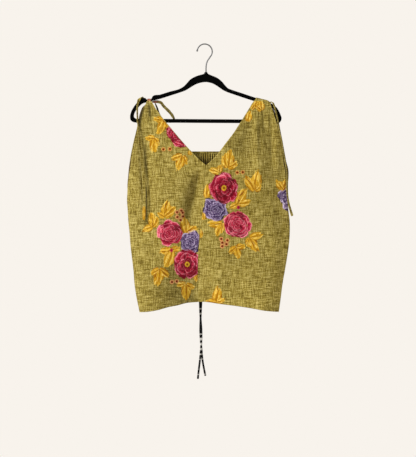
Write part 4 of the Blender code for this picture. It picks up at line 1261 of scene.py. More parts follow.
def make_knot():
    """Radius sqrt(1 - s^2) with slanting turns, 1 - 0.14 cos(3.2 pi s + 0.9 sin angle), and
    small creases, 1 + 0.03 sin(5 angle + 9 s). A petal's pink shows most at its middle."""
    s = np.sin(np.linspace(-0.5 * math.pi, 0.5 * math.pi, KNOT_RINGS))[:, None]
    angle = section_angles(KNOT_SIDES)[None, :]
    turns = 1 - 0.14 * np.cos(3.2 * math.pi * s + 0.9 * np.sin(angle))
    creases = 1 + 0.03 * np.sin(5 * angle + 9 * s)
    swell = np.sqrt(np.clip(1 - s * s, 0, 1)) * turns * creases
    x = KNOT_CENTRE[0] + KNOT_RADII[0] * s + 0 * angle
    y = KNOT_CENTRE[1] + KNOT_RADII[1] * swell * np.cos(angle)
    z = KNOT_CENTRE[2] + KNOT_RADII[2] * swell * np.sin(angle)
    points = np.stack([x, y, z], axis=-1)
    uv = tube_uv(points, 2 * math.pi * KNOT_RADII[2])
    blush = 0.35 + 0.4 * smooth_step(s, -0.9, -0.2) - 0.25 * smooth_step(s, 0.2, 0.8) + 0 * angle
    # painted shade: the whole knot's colour is darkened by KNOT_SHADOW
    marks = {"blush": blush, "deep": KNOT_SHADOW + 0 * blush}
    piece = make_tube("tie_knot", points, tie_linen, uv=uv, marks=marks)
    dress(piece, "left_tie_knot")


make_knot()

# %% [markdown]
# ## The drawstring's free ends
#
# The cord in the casing comes out behind the neck and hangs down outside the back, past the hem.
# It is a round black braid with one pale strand, which winds round once in 15 mm and so shows as
# pale bands. The braid's two directions of strands are waves in the radius that cross each other.

# %% Drawstring
STRING_DIAMETER = 4.8
STRING_FULLNESS = 1.16  # a soft braid looks thicker than its size under load
STRAND_RISE = 0.08
STRANDS = 4  # that wind each way
STRING_STEP = 12.5
STRING_CLEARANCE = 1.6
STRING_EXIT_Z = -316.6
STRING_EXIT_APART = 3.3
STRING_EXIT_REACH = 3.4
STRINGS = Table(
    "z x apart_x apart_y",
    (-316.6, 0, 3.3, 0), (-360, -1, 3.3, 0), (-500, -6, 3.1, 0), (-640, -11, 3, 0),
    (-740, -15, 2.7, 1.3), (-790, -15.5, 0.8, 2.9), (-845, -14.5, -1.8, 2.5),
    (-896, -13.5, 0.9, 2.9), (-930, -13.5, 4, 1.4), (-960, -12.6, 8.5, 0.6), (-984, -11.5, 12, 0),
)
STRING_ENDS = {"drawstring_left": (-1, -984.0), "drawstring_right": (1, -975.0)}
STRING_SIDES = 20
STRING_FINE_STEP = 0.7
BAND_PITCH = 15.0
# The wave's level above which the yarn is pale: high where the cord is nearly all black
STRING_BANDS = Table(
    "z from_level",
    (-984, 0.75), (-925, 0.8), (-915, 0.6), (-905, 0.4), (-856, 0.4), (-848, 0.95), (-805, 0.95),
    (-795, 0.5), (-780, 0.5), (-770, 0.9), (-748, 0.9), (-735, 0.6), (-700, 0.6),
    (-640, 0.6), (-540, 0.6), (-430, 0.6), (-320, 0.6),
)
PALE_EDGE = 0.2  # from black to pale, on the wave's scale
STRING_BLACK = (0.0025, 0.0025, 0.0020)
STRING_PALE = (0.62, 0.60, 0.55)


def plain_back_y(x, z):
    """The back's depth with its main folds only, which the cord's route keeps clear of."""
    plain, settled = plain_depth("back", x, z)
    return plain + folds_at(BACK_FOLDS, x, z) * settled


def string_route(direction, end_z):
    """One end: straight out of the casing, down over the back, then hanging free."""
    down = np.arange(-323.0, end_z, -STRING_STEP)
    down = np.append(down[:-1], end_z)
    x = STRINGS.at("x", down) + direction * STRINGS.at("apart_x", down)
    off = 0.5 * (WALL + STRING_DIAMETER) + STRING_CLEARANCE + GATHER_RISE
    surface = plain_back_y(x, np.maximum(down, HEM_Z)) + off
    y = np.maximum.accumulate(surface) + STRINGS.at("apart_y", down) * direction
    exit_y = float(plain_back_y(0.0, STRING_EXIT_Z)) + CASING_THICKNESS / 2 + SEAM_GAP
    exit_x = direction * STRING_EXIT_APART
    start = [(exit_x, exit_y + reach, STRING_EXIT_Z) for reach in (0, STRING_EXIT_REACH)]
    return np.array(start + list(zip(x.tolist(), y.tolist(), down.tolist())))


def make_string(name, direction, end_z):
    """Radius R(1.16 + 0.08 max(cos(4a + qs), cos(4a - qs))): strands that cross."""
    route = string_route(direction, end_z)
    rows = np.column_stack([route, np.tile((1.0, 0.2, 0.0), (len(route), 1))])
    line, width, normal = curve_through(rows.tolist(), STRING_FINE_STEP)
    angle = section_angles(STRING_SIDES)[None, :]
    along = (np.arange(len(line)) * STRING_FINE_STEP)[:, None]
    slant = STRANDS * 2 * math.pi / BAND_PITCH * along
    crossing = np.maximum(np.cos(STRANDS * angle + slant), np.cos(STRANDS * angle - slant))
    radius = 0.5 * STRING_DIAMETER * (STRING_FULLNESS + STRAND_RISE * crossing)
    radius = radius * soft_ends(len(line), STRING_FINE_STEP, 2.0)[:, None]
    rings = sweep(line, width, normal, radius * np.cos(angle), radius * np.sin(angle))
    strand = np.cos(2 * math.pi * along / BAND_PITCH + 0.5 * np.sin(angle))
    from_level = STRING_BANDS.at("from_level", line[:, 2])[:, None]
    pale = smooth_step(strand, from_level, from_level + PALE_EDGE)
    pale = with_ends(pale * (0.6 + 0.4 * smooth_step(crossing, 0.2, 0.9)))[..., None]
    colours = np.array(STRING_BLACK) * (1 - pale) + np.array(STRING_PALE) * pale
    return dress(make_tube(name + "_braid", rings, braid, colours=colours), name), line


strings = [make_string(name, direction, end_z) for name, (direction, end_z) in STRING_ENDS.items()]

# %% [markdown]
# ## The hanger
#
# The hanger is one flat ring: up one arm, down the other and along the bar, with a notch near each
# end. Its table gives points of the outer edge and the inner points that face them. The section
# between them is a soft oblong, because the flock rounds every corner. The solid of the frame has
# chamfers instead, so this finer ring replaces it.

# %% Hanger ring
HANGER_THICKNESS = 5.5
HANGER_SIDES = 28
HANGER_RINGS = 420
CORNER_POWER = 0.62  # of the soft oblong: 1 is an ellipse, 0 a box
LEAST_STEP = 0.4  # added between two rows, so that close ones get some rings
HANGER_RING = (
    # outer x, outer z, inner x, inner z
    (0.6, -80, 0.6, -110), (-2.9, -80, -2, -110), (-4.6, -84.3, -4, -110.2),
    (-9, -86.6, -8, -110.6), (-17, -88.7, -15, -111.8), (-32, -94, -28, -116),
    (-46.4, -102.8, -40, -122.6), (-56, -113.5, -50, -129), (-65, -122.5, -62, -135.5),
    (-76, -129, -75, -140.2), (-105, -137.4, -105, -149.8), (-134, -146.4, -134, -159.1),
    (-157, -152.8, -155, -164.6), (-160.6, -160, -158.5, -165.8), (-164, -160.8, -162.5, -166.6),
    (-170, -161, -168.5, -168.3), (-173.6, -160.4, -172, -169.2), (-177, -156.6, -175, -169.8),
    (-184, -156.8, -181, -171.2), (-191, -159, -187, -174), (-199, -167, -193.5, -179.5),
    (-208, -177.6, -200, -187), (-216, -190, -206, -195), (-221, -203, -210.3, -205),
    (-222.3, -213, -210.5, -211.5), (-220.5, -221.5, -208, -215.5), (-213, -227.2, -203.5, -217),
    (-203, -228.9, -198, -217.5), (-120, -229, -120, -217.8), (0, -229.8, 0, -218.6),
    (120, -230.4, 120, -219.4), (200, -231, 197, -220), (211, -230.6, 203.5, -219.6),
    (217.5, -228, 208, -217.8), (221.3, -222.5, 210.3, -214.5), (222.5, -215, 210.4, -209.5),
    (219, -204, 206.8, -202), (214, -193.5, 201.5, -194), (207.8, -184.2, 195.5, -187.5),
    (199, -176.8, 188.5, -182.5), (191.5, -172, 182, -179), (187, -169.4, 177.5, -177.2),
    (181, -166.8, 172.5, -175.2), (175, -165.2, 168, -173.6), (169.5, -165.2, 164, -172.4),
    (165, -165.4, 160.5, -171.3), (160.5, -163.6, 157, -170.2), (155.5, -159.4, 152.5, -168.9),
    (150, -157.2, 147.5, -167.4), (129.7, -150.2, 129.7, -162), (100, -140.2, 100, -152.2),
    (77, -132.6, 77, -144.4), (65.5, -127.9, 64.5, -140), (57, -119.5, 52, -134.3),
    (47.5, -108.2, 42, -127.6), (33, -96.9, 29, -118.8), (18.2, -90.5, 16.5, -112.8),
    (10, -87, 9, -111), (5.8, -84.4, 5, -110.3), (4.1, -80, 3.2, -110),
)


def make_hanger():
    """An oblong between the outer and inner edges, read from the closed table by its length."""
    ring = np.array(HANGER_RING, float)
    padded = np.concatenate([ring[-4:], ring, ring[:5]])
    middle = 0.5 * (padded[:, :2] + padded[:, 2:])
    chord = lengths_along(middle) + LEAST_STEP * np.arange(len(middle))
    table = Table("at ox oz ix iz", *np.column_stack([chord, padded]).tolist())
    where = np.linspace(chord[4], chord[4 + len(ring)], HANGER_RINGS + 1)[:-1]
    names = ("ox", "oz", "ix", "iz")
    outer_x, outer_z, inner_x, inner_z = (table.at(name, where)[:, None] for name in names)
    across, through = oblong(HANGER_SIDES, CORNER_POWER, CORNER_POWER)
    x = 0.5 * (outer_x + inner_x) + 0.5 * (outer_x - inner_x) * across
    z = 0.5 * (outer_z + inner_z) + 0.5 * (outer_z - inner_z) * across
    y = 0.5 * HANGER_THICKNESS * through + 0 * x
    points = np.stack([x, y, z], axis=-1)
    faces = grid_faces(*points.shape[:2], wrap_rows=True, wrap_columns=True)
    dress(make_piece("velvet_hanger", points, faces, flock), "hanger_frame")


make_hanger()

# %% [markdown]
# ## The hook
#
# The hook is 3.8 mm wire, bent to an arc and screwed into the hanger's neck, with a rounded bead
# at its tip. It is a circle carried along the arc and the stem, with a radius that swells at the
# bead.

# %% Hook
WIRE_DIAMETER = 3.8
HOOK_RADIUS = 22.1
HOOK_CENTRE = (-3.2, -20.2)
HOOK_ARC = (172.0, -33.0)  # degrees, from near the tip over the top to the stem
HOOK_STEP = 0.9
HOOK_STEM = ((10.4, -39.4), (5.8, -46.2), (2.8, -53.2), (1.3, -60.5), (0.7, -69.0), (0.6, -82.0))
BEAD_RADIUS = 2.8
TIP_REACH = 3.36  # from the arc's end to the tip
WIRE_SIDES = 24


def make_hook():
    """Wire of radius 1.9 with a bead sqrt(R^2 - d^2) round a point just past the arc's end."""
    arc = np.radians(np.linspace(*HOOK_ARC, 40))
    bend = np.array(HOOK_CENTRE) + HOOK_RADIUS * np.column_stack([np.cos(arc), np.sin(arc)])
    tip = bend[0] + TIP_REACH * np.array([-math.sin(arc[0]), math.cos(arc[0])])
    x, z = np.concatenate([[tip], bend, HOOK_STEM]).T
    rows = np.column_stack([x, 0 * x, z, 0 * x, np.ones_like(x), 0 * x])
    line, width, normal = curve_through(rows, HOOK_STEP)
    along = np.arange(len(line)) * HOOK_STEP
    bead = np.sqrt(np.clip(BEAD_RADIUS**2 - (along - BEAD_RADIUS) ** 2, 0.02, None))
    radius = np.where(along < BEAD_RADIUS, bead, np.maximum(bead, 0.5 * WIRE_DIAMETER))[:, None]
    angle = section_angles(WIRE_SIDES)[None, :]
    rings = sweep(line, width, normal, radius * np.cos(angle), radius * np.sin(angle))
    dress(make_tube("wire_hook", rings, wire), "hanger_hook")


make_hook()

# %% [markdown]
# ## Stitches
#
# Embroidery is thread laid on cloth, stitch beside stitch. A painted colour would lie flat, and
# the real flowers stand up and catch the light along each thread. So each stitch is a small closed
# lens of 12 triangles: it starts and ends at a point, and in between it has a left, a top and a
# right line. Thousands of them are computed at once. Each point is set on the cloth by its x and
# z, and lifted along the cloth's own normal, so the stitches follow every fold.

# %% Stitch arrays
STITCH_FACES = np.array(
    [(0, 2, 1), (0, 3, 2), (0, 1, 3), (1, 2, 5), (1, 5, 4), (2, 3, 6), (2, 6, 5), (3, 1, 4), (3, 4, 6),
     (7, 4, 5), (7, 5, 6), (7, 6, 4)]
)
STITCH_SHARES = np.array([0, 0.16, 0.16, 0.16, 0.84, 0.84, 0.84, 1])  # of its length
STITCH_SIDES = np.array([0, 1, 0, -1, 1, 0, -1, 0])  # of half its width
STITCH_TOPS = np.array([0.1, 0, 1, 0, 0, 1, 0, 0.1])  # of its height
SUNK = 0.25  # mm of each stitch that lie in the cloth
SLOPE_REACH = 1.5  # mm, over which the cloth's slope is measured
# A stitch is a row: x and z of its ends, width, height, lift, and the dye at both ends
START, END, WIDTH, HEIGHT, LIFT = slice(0, 2), slice(2, 4), 4, 5, 6
DYE_START, DYE_END = slice(7, 10), slice(10, 13)


def sew(stitches, start, end, width, height, lift, dye_start, dye_end):
    """Add n stitches to the list; what is given once counts for all of them."""
    rows = np.empty((len(start), DYE_END.stop))
    values = (start, end, width, height, lift, dye_start, dye_end)
    for columns, value in zip((START, END, WIDTH, HEIGHT, LIFT, DYE_START, DYE_END), values):
        rows[:, columns] = value
    stitches.append(rows)


def on_front(x, z, lift):
    """A point lifted off the front: (x, y(x, z), z) + lift * normal, the normal by differences."""
    reach = SLOPE_REACH
    y = cloth_y("front", x, z)
    slope_x = (cloth_y("front", x + reach, z) - cloth_y("front", x - reach, z)) / (2 * reach)
    slope_z = (cloth_y("front", x, z + reach) - cloth_y("front", x, z - reach)) / (2 * reach)
    normal = unit(np.stack([slope_x, np.full_like(y, -1.0), slope_z], axis=-1))
    return np.stack([x, y, z], axis=-1) + normal * (0.5 * SHELL + lift)[..., None]


def stitch_mesh(name, rows, place):
    """Lens points at 0, 0.16, 0.84 and 1 of each stitch, joined into one mesh with its colours."""
    along = rows[:, END] - rows[:, START]
    beside = unit(np.stack([-along[:, 1], along[:, 0]], axis=-1) + 1e-9)
    beside = beside * 0.5 * rows[:, WIDTH, None]
    share = STITCH_SHARES[:, None]
    flat = rows[:, None, START] + share * along[:, None] + STITCH_SIDES[:, None] * beside[:, None]
    lifts = rows[:, LIFT, None] - SUNK + STITCH_TOPS * (rows[:, HEIGHT, None] + SUNK)
    points = place(flat[..., 0], flat[..., 1], lifts)
    colours = rows[:, None, DYE_START] * (1 - share) + rows[:, None, DYE_END] * share
    faces = (STITCH_FACES[None] + 8 * np.arange(len(rows))[:, None, None]).reshape(-1, 3)
    return dress(make_piece(name, points, faces, thread, colours=colours, smooth=False))


# %% [markdown]
# ## Petals, flowers and leaves
#
# A petal and a leaf's lobe are made alike: threads lie side by side from a foot to a rounded end,
# and each is stitched down in four lengths. A petal's tone runs from a dark foot, a painted shadow,
# to a pale rim, partly paler thread and partly painted highlight; a leaf has painted shade along its
# sides, streaks run along both, and single stitches are painted paler as glints of glossy thread,
# a painted highlight. Most petals lie on a dark lobe a little larger than themselves, a painted
# shadow which parts them from their neighbours. They lie in uneven rings of up to three dyes, the
# inner ones on top.
# These are ordinary garden flowers made by formula; only their places, sizes and colours follow
# the photo. A traced outline would copy one cloth, and a formula can sew any number.

# %% Petals
needle = np.random.default_rng(7)
THREAD_SPACING = 1.5
THREAD_WIDTH = 2.0
# the glint dye and tone are a painted highlight
TONES = (0.0, 0.45, 0.8, 1.05)  # tones of the four dyes of a set: dark, body, pale and glint


def mottled(dye, count, strength=0.15):
    """The dye of each of n stitches: dye * (1 + noise), some of them darkened as painted shade."""
    shade = needle.normal(1.0, strength, (count, 1))
    chance = needle.random((count, 1))
    return np.array(dye) * np.clip(shade - 0.35 * (chance < 0.12), 0.3, 1.5)


def dye_at(dyes, tone):
    """The colour at each tone, between the four dyes of a set."""
    return np.stack([np.interp(tone, TONES, [dye[i] for dye in dyes]) for i in range(3)], axis=-1)


def lobe(stitches, flower, direction, near, far, width, dyes, lift, style):
    """Threads s = -1 to 1, each through shares f = 0 to 1 of its length, turned about the centre.

    Along: near + L f (1 - drop |s|^power + a small wave), across: width / 2 s (foot + (1 - foot)
    sin(belly f)), turned by bend * radius / far. A round one follows an arc about the centre. It
    stands crown (1 - s^2) sin(pi f) higher inside. Its tone is the style's own, plus contrast *
    cos(streaks pi s), rise * (f - 0.5), whose dark foot is painted shadow, a pale rim past 0.74 to
    0.88 of it, partly painted highlight, and a grain, less its dark sides, which are painted shade;
    one stitch in 17 or so glints, a painted highlight.
    """
    centre, size = flower
    count = max(7, int(width / style["spacing"]))
    s = np.linspace(-1, 1, count)[:, None]
    f = np.array(style["cuts"])[None, :] + needle.uniform(-0.04, 0.04, (count, len(style["cuts"])))
    f[:, 0] = needle.uniform(0, 0.05, count)
    f[:, -1] = needle.uniform(1 - style["fringe"], 1 + 0.5 * style["fringe"], count)
    phase = needle.uniform(0, 6.3, 3)
    end = 1 - style["drop"] * np.abs(s) ** style["power"] + style["wave"] * np.cos(6 * s + phase[0])
    along = near + (far - near) * end * f
    belly = np.sin(style["belly"] * np.clip(f, 0, 1))
    across = 0.5 * width * s * (style["foot"] + (1 - style["foot"]) * belly)
    bend = style["bend"] * needle.uniform(-1, 1)
    heading = math.radians(direction) + bend * np.hypot(along, across) / far
    if style["round"]:
        turned = heading + across / (0.35 * near + 0.65 * far)
        points = np.stack([along * np.cos(turned), along * np.sin(turned)], axis=-1)
    else:
        forward = np.stack([np.cos(heading), np.sin(heading)], axis=-1)
        beside = np.stack([-np.sin(heading), np.cos(heading)], axis=-1)
        points = along[..., None] * forward + across[..., None] * beside
    points = np.array(centre) + points * size
    middle = 0.5 * (f[:, :-1] + f[:, 1:])
    shift = math.pi + style["drift"] * (phase[1] - math.pi) + 0.5 * np.sin(4 * middle + phase[2])
    streak = np.cos(math.pi * style["streaks"] * s + shift)
    edge = np.maximum(middle, style["edge"] * np.abs(s))
    # painted shade and highlight: the rise darkens the foot as painted shadow, the rim is partly painted
    # highlight, the sides get painted shade and the glints are painted highlight
    tone = style["tone"] + style["contrast"] * streak + style["rise"] * (middle - 0.5)
    tone = tone + style["rim"] * smooth_step(edge, 0.74, 0.88)
    tone = tone - style["side"] * smooth_step(np.abs(s), 0.78, 1.0)
    tone = tone + needle.normal(0, style["grain"], middle.shape)
    tone = tone + 0.4 * (needle.random(middle.shape) > 0.94) * (middle > 0.2)
    high = lift + style["crown"] * (1 - s * s) * np.sin(math.pi * np.clip(middle, 0, 1))
    step = points[:, 1:] - points[:, :-1]
    start = (points[:, :-1] - 0.06 * step).reshape(-1, 2)
    stop = (points[:, 1:] + 0.10 * step).reshape(-1, 2)
    thick = THREAD_WIDTH * style["spacing"] / THREAD_SPACING
    first, last = (dye_at(dyes, tone + change).reshape(-1, 3) for change in (-0.06, 0.06))
    sew(stitches, start, stop, thick, 0.65, high.ravel(), first, last)


PETAL = {
    "round": True, "spacing": 1.5, "cuts": (0, 0.3, 0.58, 0.8, 1), "drop": 0.4, "power": 2.6,
    "wave": 0.05, "foot": 0.62, "belly": 1.9, "bend": 0.45, "streaks": 3.0, "drift": 1.0,
    "tone": 0.40, "contrast": 0.08, "rise": 0.6, "edge": 0.92, "rim": 0.38, "side": 0.0,
    "grain": 0.10, "crown": 0.5, "fringe": 0.03,
}
SMALL_PETAL = {**PETAL, "spacing": 1.35, "streaks": 2.0, "tone": 0.44, "rim": 0.42, "crown": 0.35}
POINTED_PETAL = {
    **PETAL, "round": False, "drop": 0.5, "power": 1.5, "foot": 0.35, "rim": 0.42, "bend": 0.15
}
# painted shadow: the dark lobe drawn under a petal
UNDERSHADE = {**PETAL, "spacing": 2.3, "cuts": (0, 0.5, 1), "tone": 0.0, "rise": 0.0, "rim": 0.0}
UNDERSHADE_KEEPS = ("round", "drop", "power", "foot", "crown")  # from the petal over it
LEAF_LOBE = {
    "round": False, "spacing": 1.45, "cuts": (0, 0.28, 0.52, 0.78, 1), "drop": 0.40, "power": 2.4,
    "wave": 0.05, "foot": 0.5, "belly": 2.2, "bend": 0.25, "streaks": 2.1, "drift": 0.15,
    "tone": 0.56, "contrast": 0.26, "rise": 0.1, "edge": 0.0, "rim": 0.0, "side": 0.12,
    "grain": 0.23, "crown": 0.8, "fringe": 0.12,
}


def ring_of_petals(
    stitches, flower, count, near, far, dye_sets, lift, turn, style=PETAL, shade=2.6
):
    """Petals round a centre, each wider than its share, on a dark one, a painted shadow that is `shade`
    larger.
    """
    width = 1.18 * 2 * math.pi * (0.4 * near + 0.6 * far) / count
    for i in range(count):
        direction = turn + (i + needle.uniform(-0.3, 0.3)) * 360.0 / count
        reach = far * needle.uniform(0.9, 1.04)
        start = near * needle.uniform(0.7, 1.2)
        wide = width * needle.uniform(0.75, 1.2)
        dyes = dye_sets[int(needle.integers(len(dye_sets)))]
        over = lift + 0.6 * style["crown"] * (i % 2) + needle.uniform(0, 0.1)
        if shade > 0:
            under = {**UNDERSHADE, **{key: style[key] for key in UNDERSHADE_KEEPS}}
            size = (start, reach + shade, wide + 2 * shade)
            lobe(stitches, flower, direction, *size, dyes, over - 0.2, under)
        lobe(stitches, flower, direction, start, reach, wide, dyes, over, style)


def disc(stitches, centre, size, radius, dyes, lift, spacing=1.2):
    """A filled round: stitches from the middle to the rim, every other one shorter."""
    count = max(7, int(2 * math.pi * radius * 0.7 / spacing))
    angle = np.arange(count) * 2 * math.pi / count
    way = np.stack([np.cos(angle) * size[0], np.sin(angle) * size[1]], axis=-1)
    near = np.where(np.arange(count) % 2 == 0, 0.05, 0.4) * radius
    start = np.array(centre) + way * near[:, None]
    end = np.array(centre) + way * radius
    first, last = mottled(dyes[0], count, 0.1), mottled(dyes[1], count, 0.1)
    sew(stitches, start, end, spacing * 1.3, 0.6, lift, first, last)


# %% Flowers
# Each set of dyes: dark, body, pale and glint, the glint a painted highlight
CRIMSON = ((0.100, 0.0002, 0.005), (0.240, 0.0010, 0.012), (0.450, 0.016, 0.045), (0.62, 0.08, 0.12))
ROSE = ((0.160, 0.0003, 0.009), (0.440, 0.004, 0.030), (0.700, 0.060, 0.115), (0.90, 0.24, 0.30))
PINK = ((0.220, 0.0015, 0.017), (0.560, 0.020, 0.068), (0.780, 0.115, 0.180), (0.95, 0.34, 0.40))
VIOLET = ((0.026, 0.010, 0.055), (0.115, 0.070, 0.160), (0.340, 0.250, 0.410), (0.60, 0.50, 0.70))
LILAC = ((0.060, 0.030, 0.105), (0.225, 0.150, 0.275), (0.490, 0.370, 0.545), (0.76, 0.64, 0.82))
GOLD = ((0.330, 0.110, 0.002), (0.590, 0.310, 0.010), (0.760, 0.480, 0.040), (0.90, 0.68, 0.16))
RUST = (0.300, 0.085, 0.002)
SALMON = (0.720, 0.370, 0.130)
BERRY = (0.270, 0.030, 0.003)


def open_rose(stitches, flower, turn):
    """A wide rose with a golden ring in its middle: four rings of crescent petals."""
    ring_of_petals(stitches, flower, 7, 20.0, 42.0, (ROSE, PINK), 0.3, turn, PETAL, 1.2)
    ring_of_petals(stitches, flower, 5, 15.0, 33.0, (CRIMSON, ROSE, PINK), 1.2, turn + 31, PETAL, 3.4)
    ring_of_petals(stitches, flower, 5, 9.0, 24.0, (CRIMSON, ROSE, PINK), 2.1, turn + 8, PETAL, 3.4)
    ring_of_petals(stitches, flower, 4, 4.0, 16.0, (CRIMSON, ROSE), 3.0, turn + 50, SMALL_PETAL)
    disc(stitches, *flower, 7.8, (GOLD[1], GOLD[2]), 3.9)
    disc(stitches, *flower, 3.2, (RUST, GOLD[0]), 4.4, 0.8)


def closed_rose(stitches, flower, turn):
    """A full rose: small crescents in six rings, the darker crimson ones on its shaded side."""
    ring_of_petals(stitches, flower, 9, 25.0, 40.0, (PINK,), 0.1, turn, SMALL_PETAL, 0.0)
    for step in (-45, -12, 20, 46):
        lobe(stitches, flower, turn + step, 23.0, 39.0, 24.0, CRIMSON, 0.5, SMALL_PETAL)
    ring_of_petals(stitches, flower, 7, 18.0, 33.0, (ROSE, PINK, PINK), 0.8, turn + 25, SMALL_PETAL, 2.3)
    for step in (-28, 10):
        lobe(stitches, flower, turn + step, 17.0, 31.0, 22.0, CRIMSON, 1.2, SMALL_PETAL)
    ring_of_petals(stitches, flower, 6, 12.5, 26.5, (ROSE, PINK, PINK), 1.5, turn + 11, SMALL_PETAL, 2.3)
    ring_of_petals(stitches, flower, 5, 8.0, 20.5, (PINK,), 2.1, turn + 50, SMALL_PETAL, 2.3)
    ring_of_petals(stitches, flower, 4, 4.0, 14.0, (ROSE, PINK), 2.7, turn + 30, SMALL_PETAL, 2.3)
    ring_of_petals(stitches, flower, 3, 0.5, 8.0, (ROSE, PINK), 3.3, turn + 20, SMALL_PETAL, 2.3)


def violet_flower(stitches, flower, turn):
    """Five broad petals with small tips, then tighter rings round a dark eye."""
    ring_of_petals(stitches, flower, 5, 8.0, 40.0, (VIOLET, LILAC), 0.1, turn, POINTED_PETAL, 1.2)
    ring_of_petals(stitches, flower, 5, 8.0, 25.0, (VIOLET, LILAC), 1.0, turn + 36, POINTED_PETAL)
    ring_of_petals(stitches, flower, 4, 5.0, 16.0, (VIOLET, LILAC), 1.8, turn + 5, SMALL_PETAL, 2.3)
    ring_of_petals(stitches, flower, 3, 1.0, 10.5, (VIOLET,), 2.5, turn + 30, SMALL_PETAL)


def berry(stitches, centre, radius):
    """A knot of red thread on a loose golden round."""
    disc(stitches, centre, (1, 1), radius * 2.1, (SALMON, SALMON), 0.1)
    disc(stitches, centre, (1, 1), radius, (BERRY, BERRY), 0.8, 0.9)


def leaf(stitches, joint, angle, length, width, style=LEAF_LOBE):
    """A lobe of lengthwise golden threads with a dark, slightly wavy rib of stem stitches."""
    lift = needle.uniform(0.1, 0.4)
    lobe(stitches, (joint, (1, 1)), angle, 0.0, length, width, GOLD, lift, style)
    way = np.array([math.cos(math.radians(angle)), math.sin(math.radians(angle))])
    beside = np.array([-way[1], way[0]])
    ribs = max(3, int(length / 6))
    s = np.arange(ribs) / ribs
    start = np.array(joint) + way * (0.05 + 0.72 * s)[:, None] * length
    bend = beside * (0.05 * width * np.sin(5 * s))[:, None]
    end = start + way * (0.9 * length / ribs)
    sew(stitches, start + bend, end + bend, 1.2, 0.45, 1.25, RUST, np.array(GOLD[0]) * 0.9)


# %% [markdown]
# ## The print's layout
#
# The flowers and leaves lie where the photo has them, each on the half of the front that its
# middle lies on. A spray is a joint and a few leaves that spread from it. The flowers and their
# sizes are listed the same way, and the formulas above do the rest.

# %% Layout
FLOWERS = (
    # x, z, kind, width, height, turn
    (28, -484, "violet", 72, 70, 50),
    (-44, -579, "violet", 60, 66, 20),
    (250, -448, "violet", 70, 74, 0),
    (53, -421.5, "open", 84, 97, 20),
    (-54, -643, "open", 80, 88, 75),
    (-74, -262, "open", 82, 82, 140),
    (92, -529, "closed", 80, 81, 120),
    (-106, -553, "closed", 77, 75, -50),
)
SPRAYS = (
    # joint x, joint z, then (direction in degrees, length) of each leaf
    (-124, -222, (174, 29), (-98, 43), (-57, 24)),
    (-149, -275, (180, 28), (-56, 26), (-106, 43)),
    (-68, -327, (-167, 33), (-58, 28), (-105, 44)),
    (64, -362, (116, 41), (77, 53), (21, 33)),
    (39, -377, (151, 30), (87, 25)),
    (144, -429, (119, 49), (86, 57), (30, 24)),
    (93, -468, (69, 50), (7, 38), (-153, 26)),
    (48, -523, (-167, 41), (-116, 41), (-90, 29)),
    (89, -594, (-148, 28), (16, 27), (-85, 34)),
    (128, -567, (11, 39), (-67, 45), (-114, 26)),
    (4, -450, (93, 38)),
    (-7, -514, (84, 22)),
    (-120, -506, (88, 47), (48, 44), (162, 23)),
    (-154.5, -535, (91, 43), (54, 34), (-169, 32)),
    (-57, -553, (97, 46), (42, 37)),
    (-99, -603, (-168, 36), (-101, 54), (27, 26)),
    (-136, -657, (-145, 28), (-43, 36), (-88, 50)),
    (-58, -702, (-177, 26), (-39, 28), (-88, 46)),
    (-30, -670, (-86, 26)),
    (30, -755, (169, 30), (81, 46), (13, 27)),
    (230, -428, (128, 36), (82, 38)),
    (164, -194, (97, 33), (142, 22)),
    (145, -186, (84, 24)),
    (134, -191, (60, 20)),
    (123, -227, (81, 31)),
    (-17, -567, (87, 26)),
    (-47, -325, (75, 17)),
)
RINGS = ((-124, -308), (-105, -307), (92, -376), (108, -375))
BERRIES = (
    (45, -570), (63, -574), (48, -581), (60, -585), (48, -591),
    (-84, -492), (-72, -487), (-68, -493), (-83, -506), (-67, -504), (-74, -515),
    (-99, -696), (-85, -694),
)
BUDS = ((95, -478), (-100, -603))
LEAF_LENGTHENED = 1.02
LEAF_WIDTH = (5.0, 0.47)  # mm, and share of the length
UNIT_WIDTHS = {"open": 82.0, "closed": 78.0, "violet": 72.0}  # that the formulas are written for


def embroider(side):
    """One half's leaves first, then its flowers over them, then the small rounds."""
    stitches = []

    def mine(places):
        """The places whose middle lies on this half."""
        return [row for row in places if (row[0] < FRONT_SEAM.at("x", row[1])) == (side == "left")]

    for joint_x, joint_z, *leaves in mine(SPRAYS):
        for angle, length in leaves:
            width = LEAF_WIDTH[0] + LEAF_WIDTH[1] * length
            leaf(stitches, (joint_x, joint_z), angle, LEAF_LENGTHENED * length, width)
    makers = {"open": open_rose, "closed": closed_rose, "violet": violet_flower}
    for x, z, kind, width, height, turn in mine(FLOWERS):
        size = np.array([width, height]) / UNIT_WIDTHS[kind]
        makers[kind](stitches, ((x, z), size), turn)
    for x, z in mine(RINGS):
        disc(stitches, (x, z), (1, 1), 7.0, (GOLD[1], SALMON), 0.1)
        disc(stitches, (x, z), (1, 1), 3.2, (BERRY, BERRY), 0.7, 0.9)
    for x, z in mine(BERRIES):
        berry(stitches, (x, z), 3.4)
    for x, z in mine(BUDS):
        disc(stitches, (x, z), (1, 1.2), 4.8, (CRIMSON[1], ROSE[2]), 1.6)
    return stitches


stitch_rows = {}
for side in ("left", "right"):
    stitch_rows[side] = np.concatenate(embroider(side))
    print(side, len(stitch_rows[side]), "stitches")

# %% [markdown]
# ## Cutting the print at the seams
#
# A stitch may not cross the middle seam or hang over an edge. For each half of the front, the
# stitches are cut at its edges: the share of each stitch that lies inside is found by halving,
# for all stitches at once, and what is left too short is dropped.


# %% Cut stitches to a panel
CLEAR_OF_NECK = 2.2
CLEAR_OF_SEAM = 0.8
CLEAR_OF_EDGE = 2.0
CLEAR_OF_HEM = 1.5
PRINT_TOP_Z = -166
HALVINGS = 9
SHORTEST_STITCH = 0.9
# painted shade: the stitches take this share of the front's painted shade and painted light
THREAD_SHADE = 0.55  # thread darkens by this share of what the cloth does


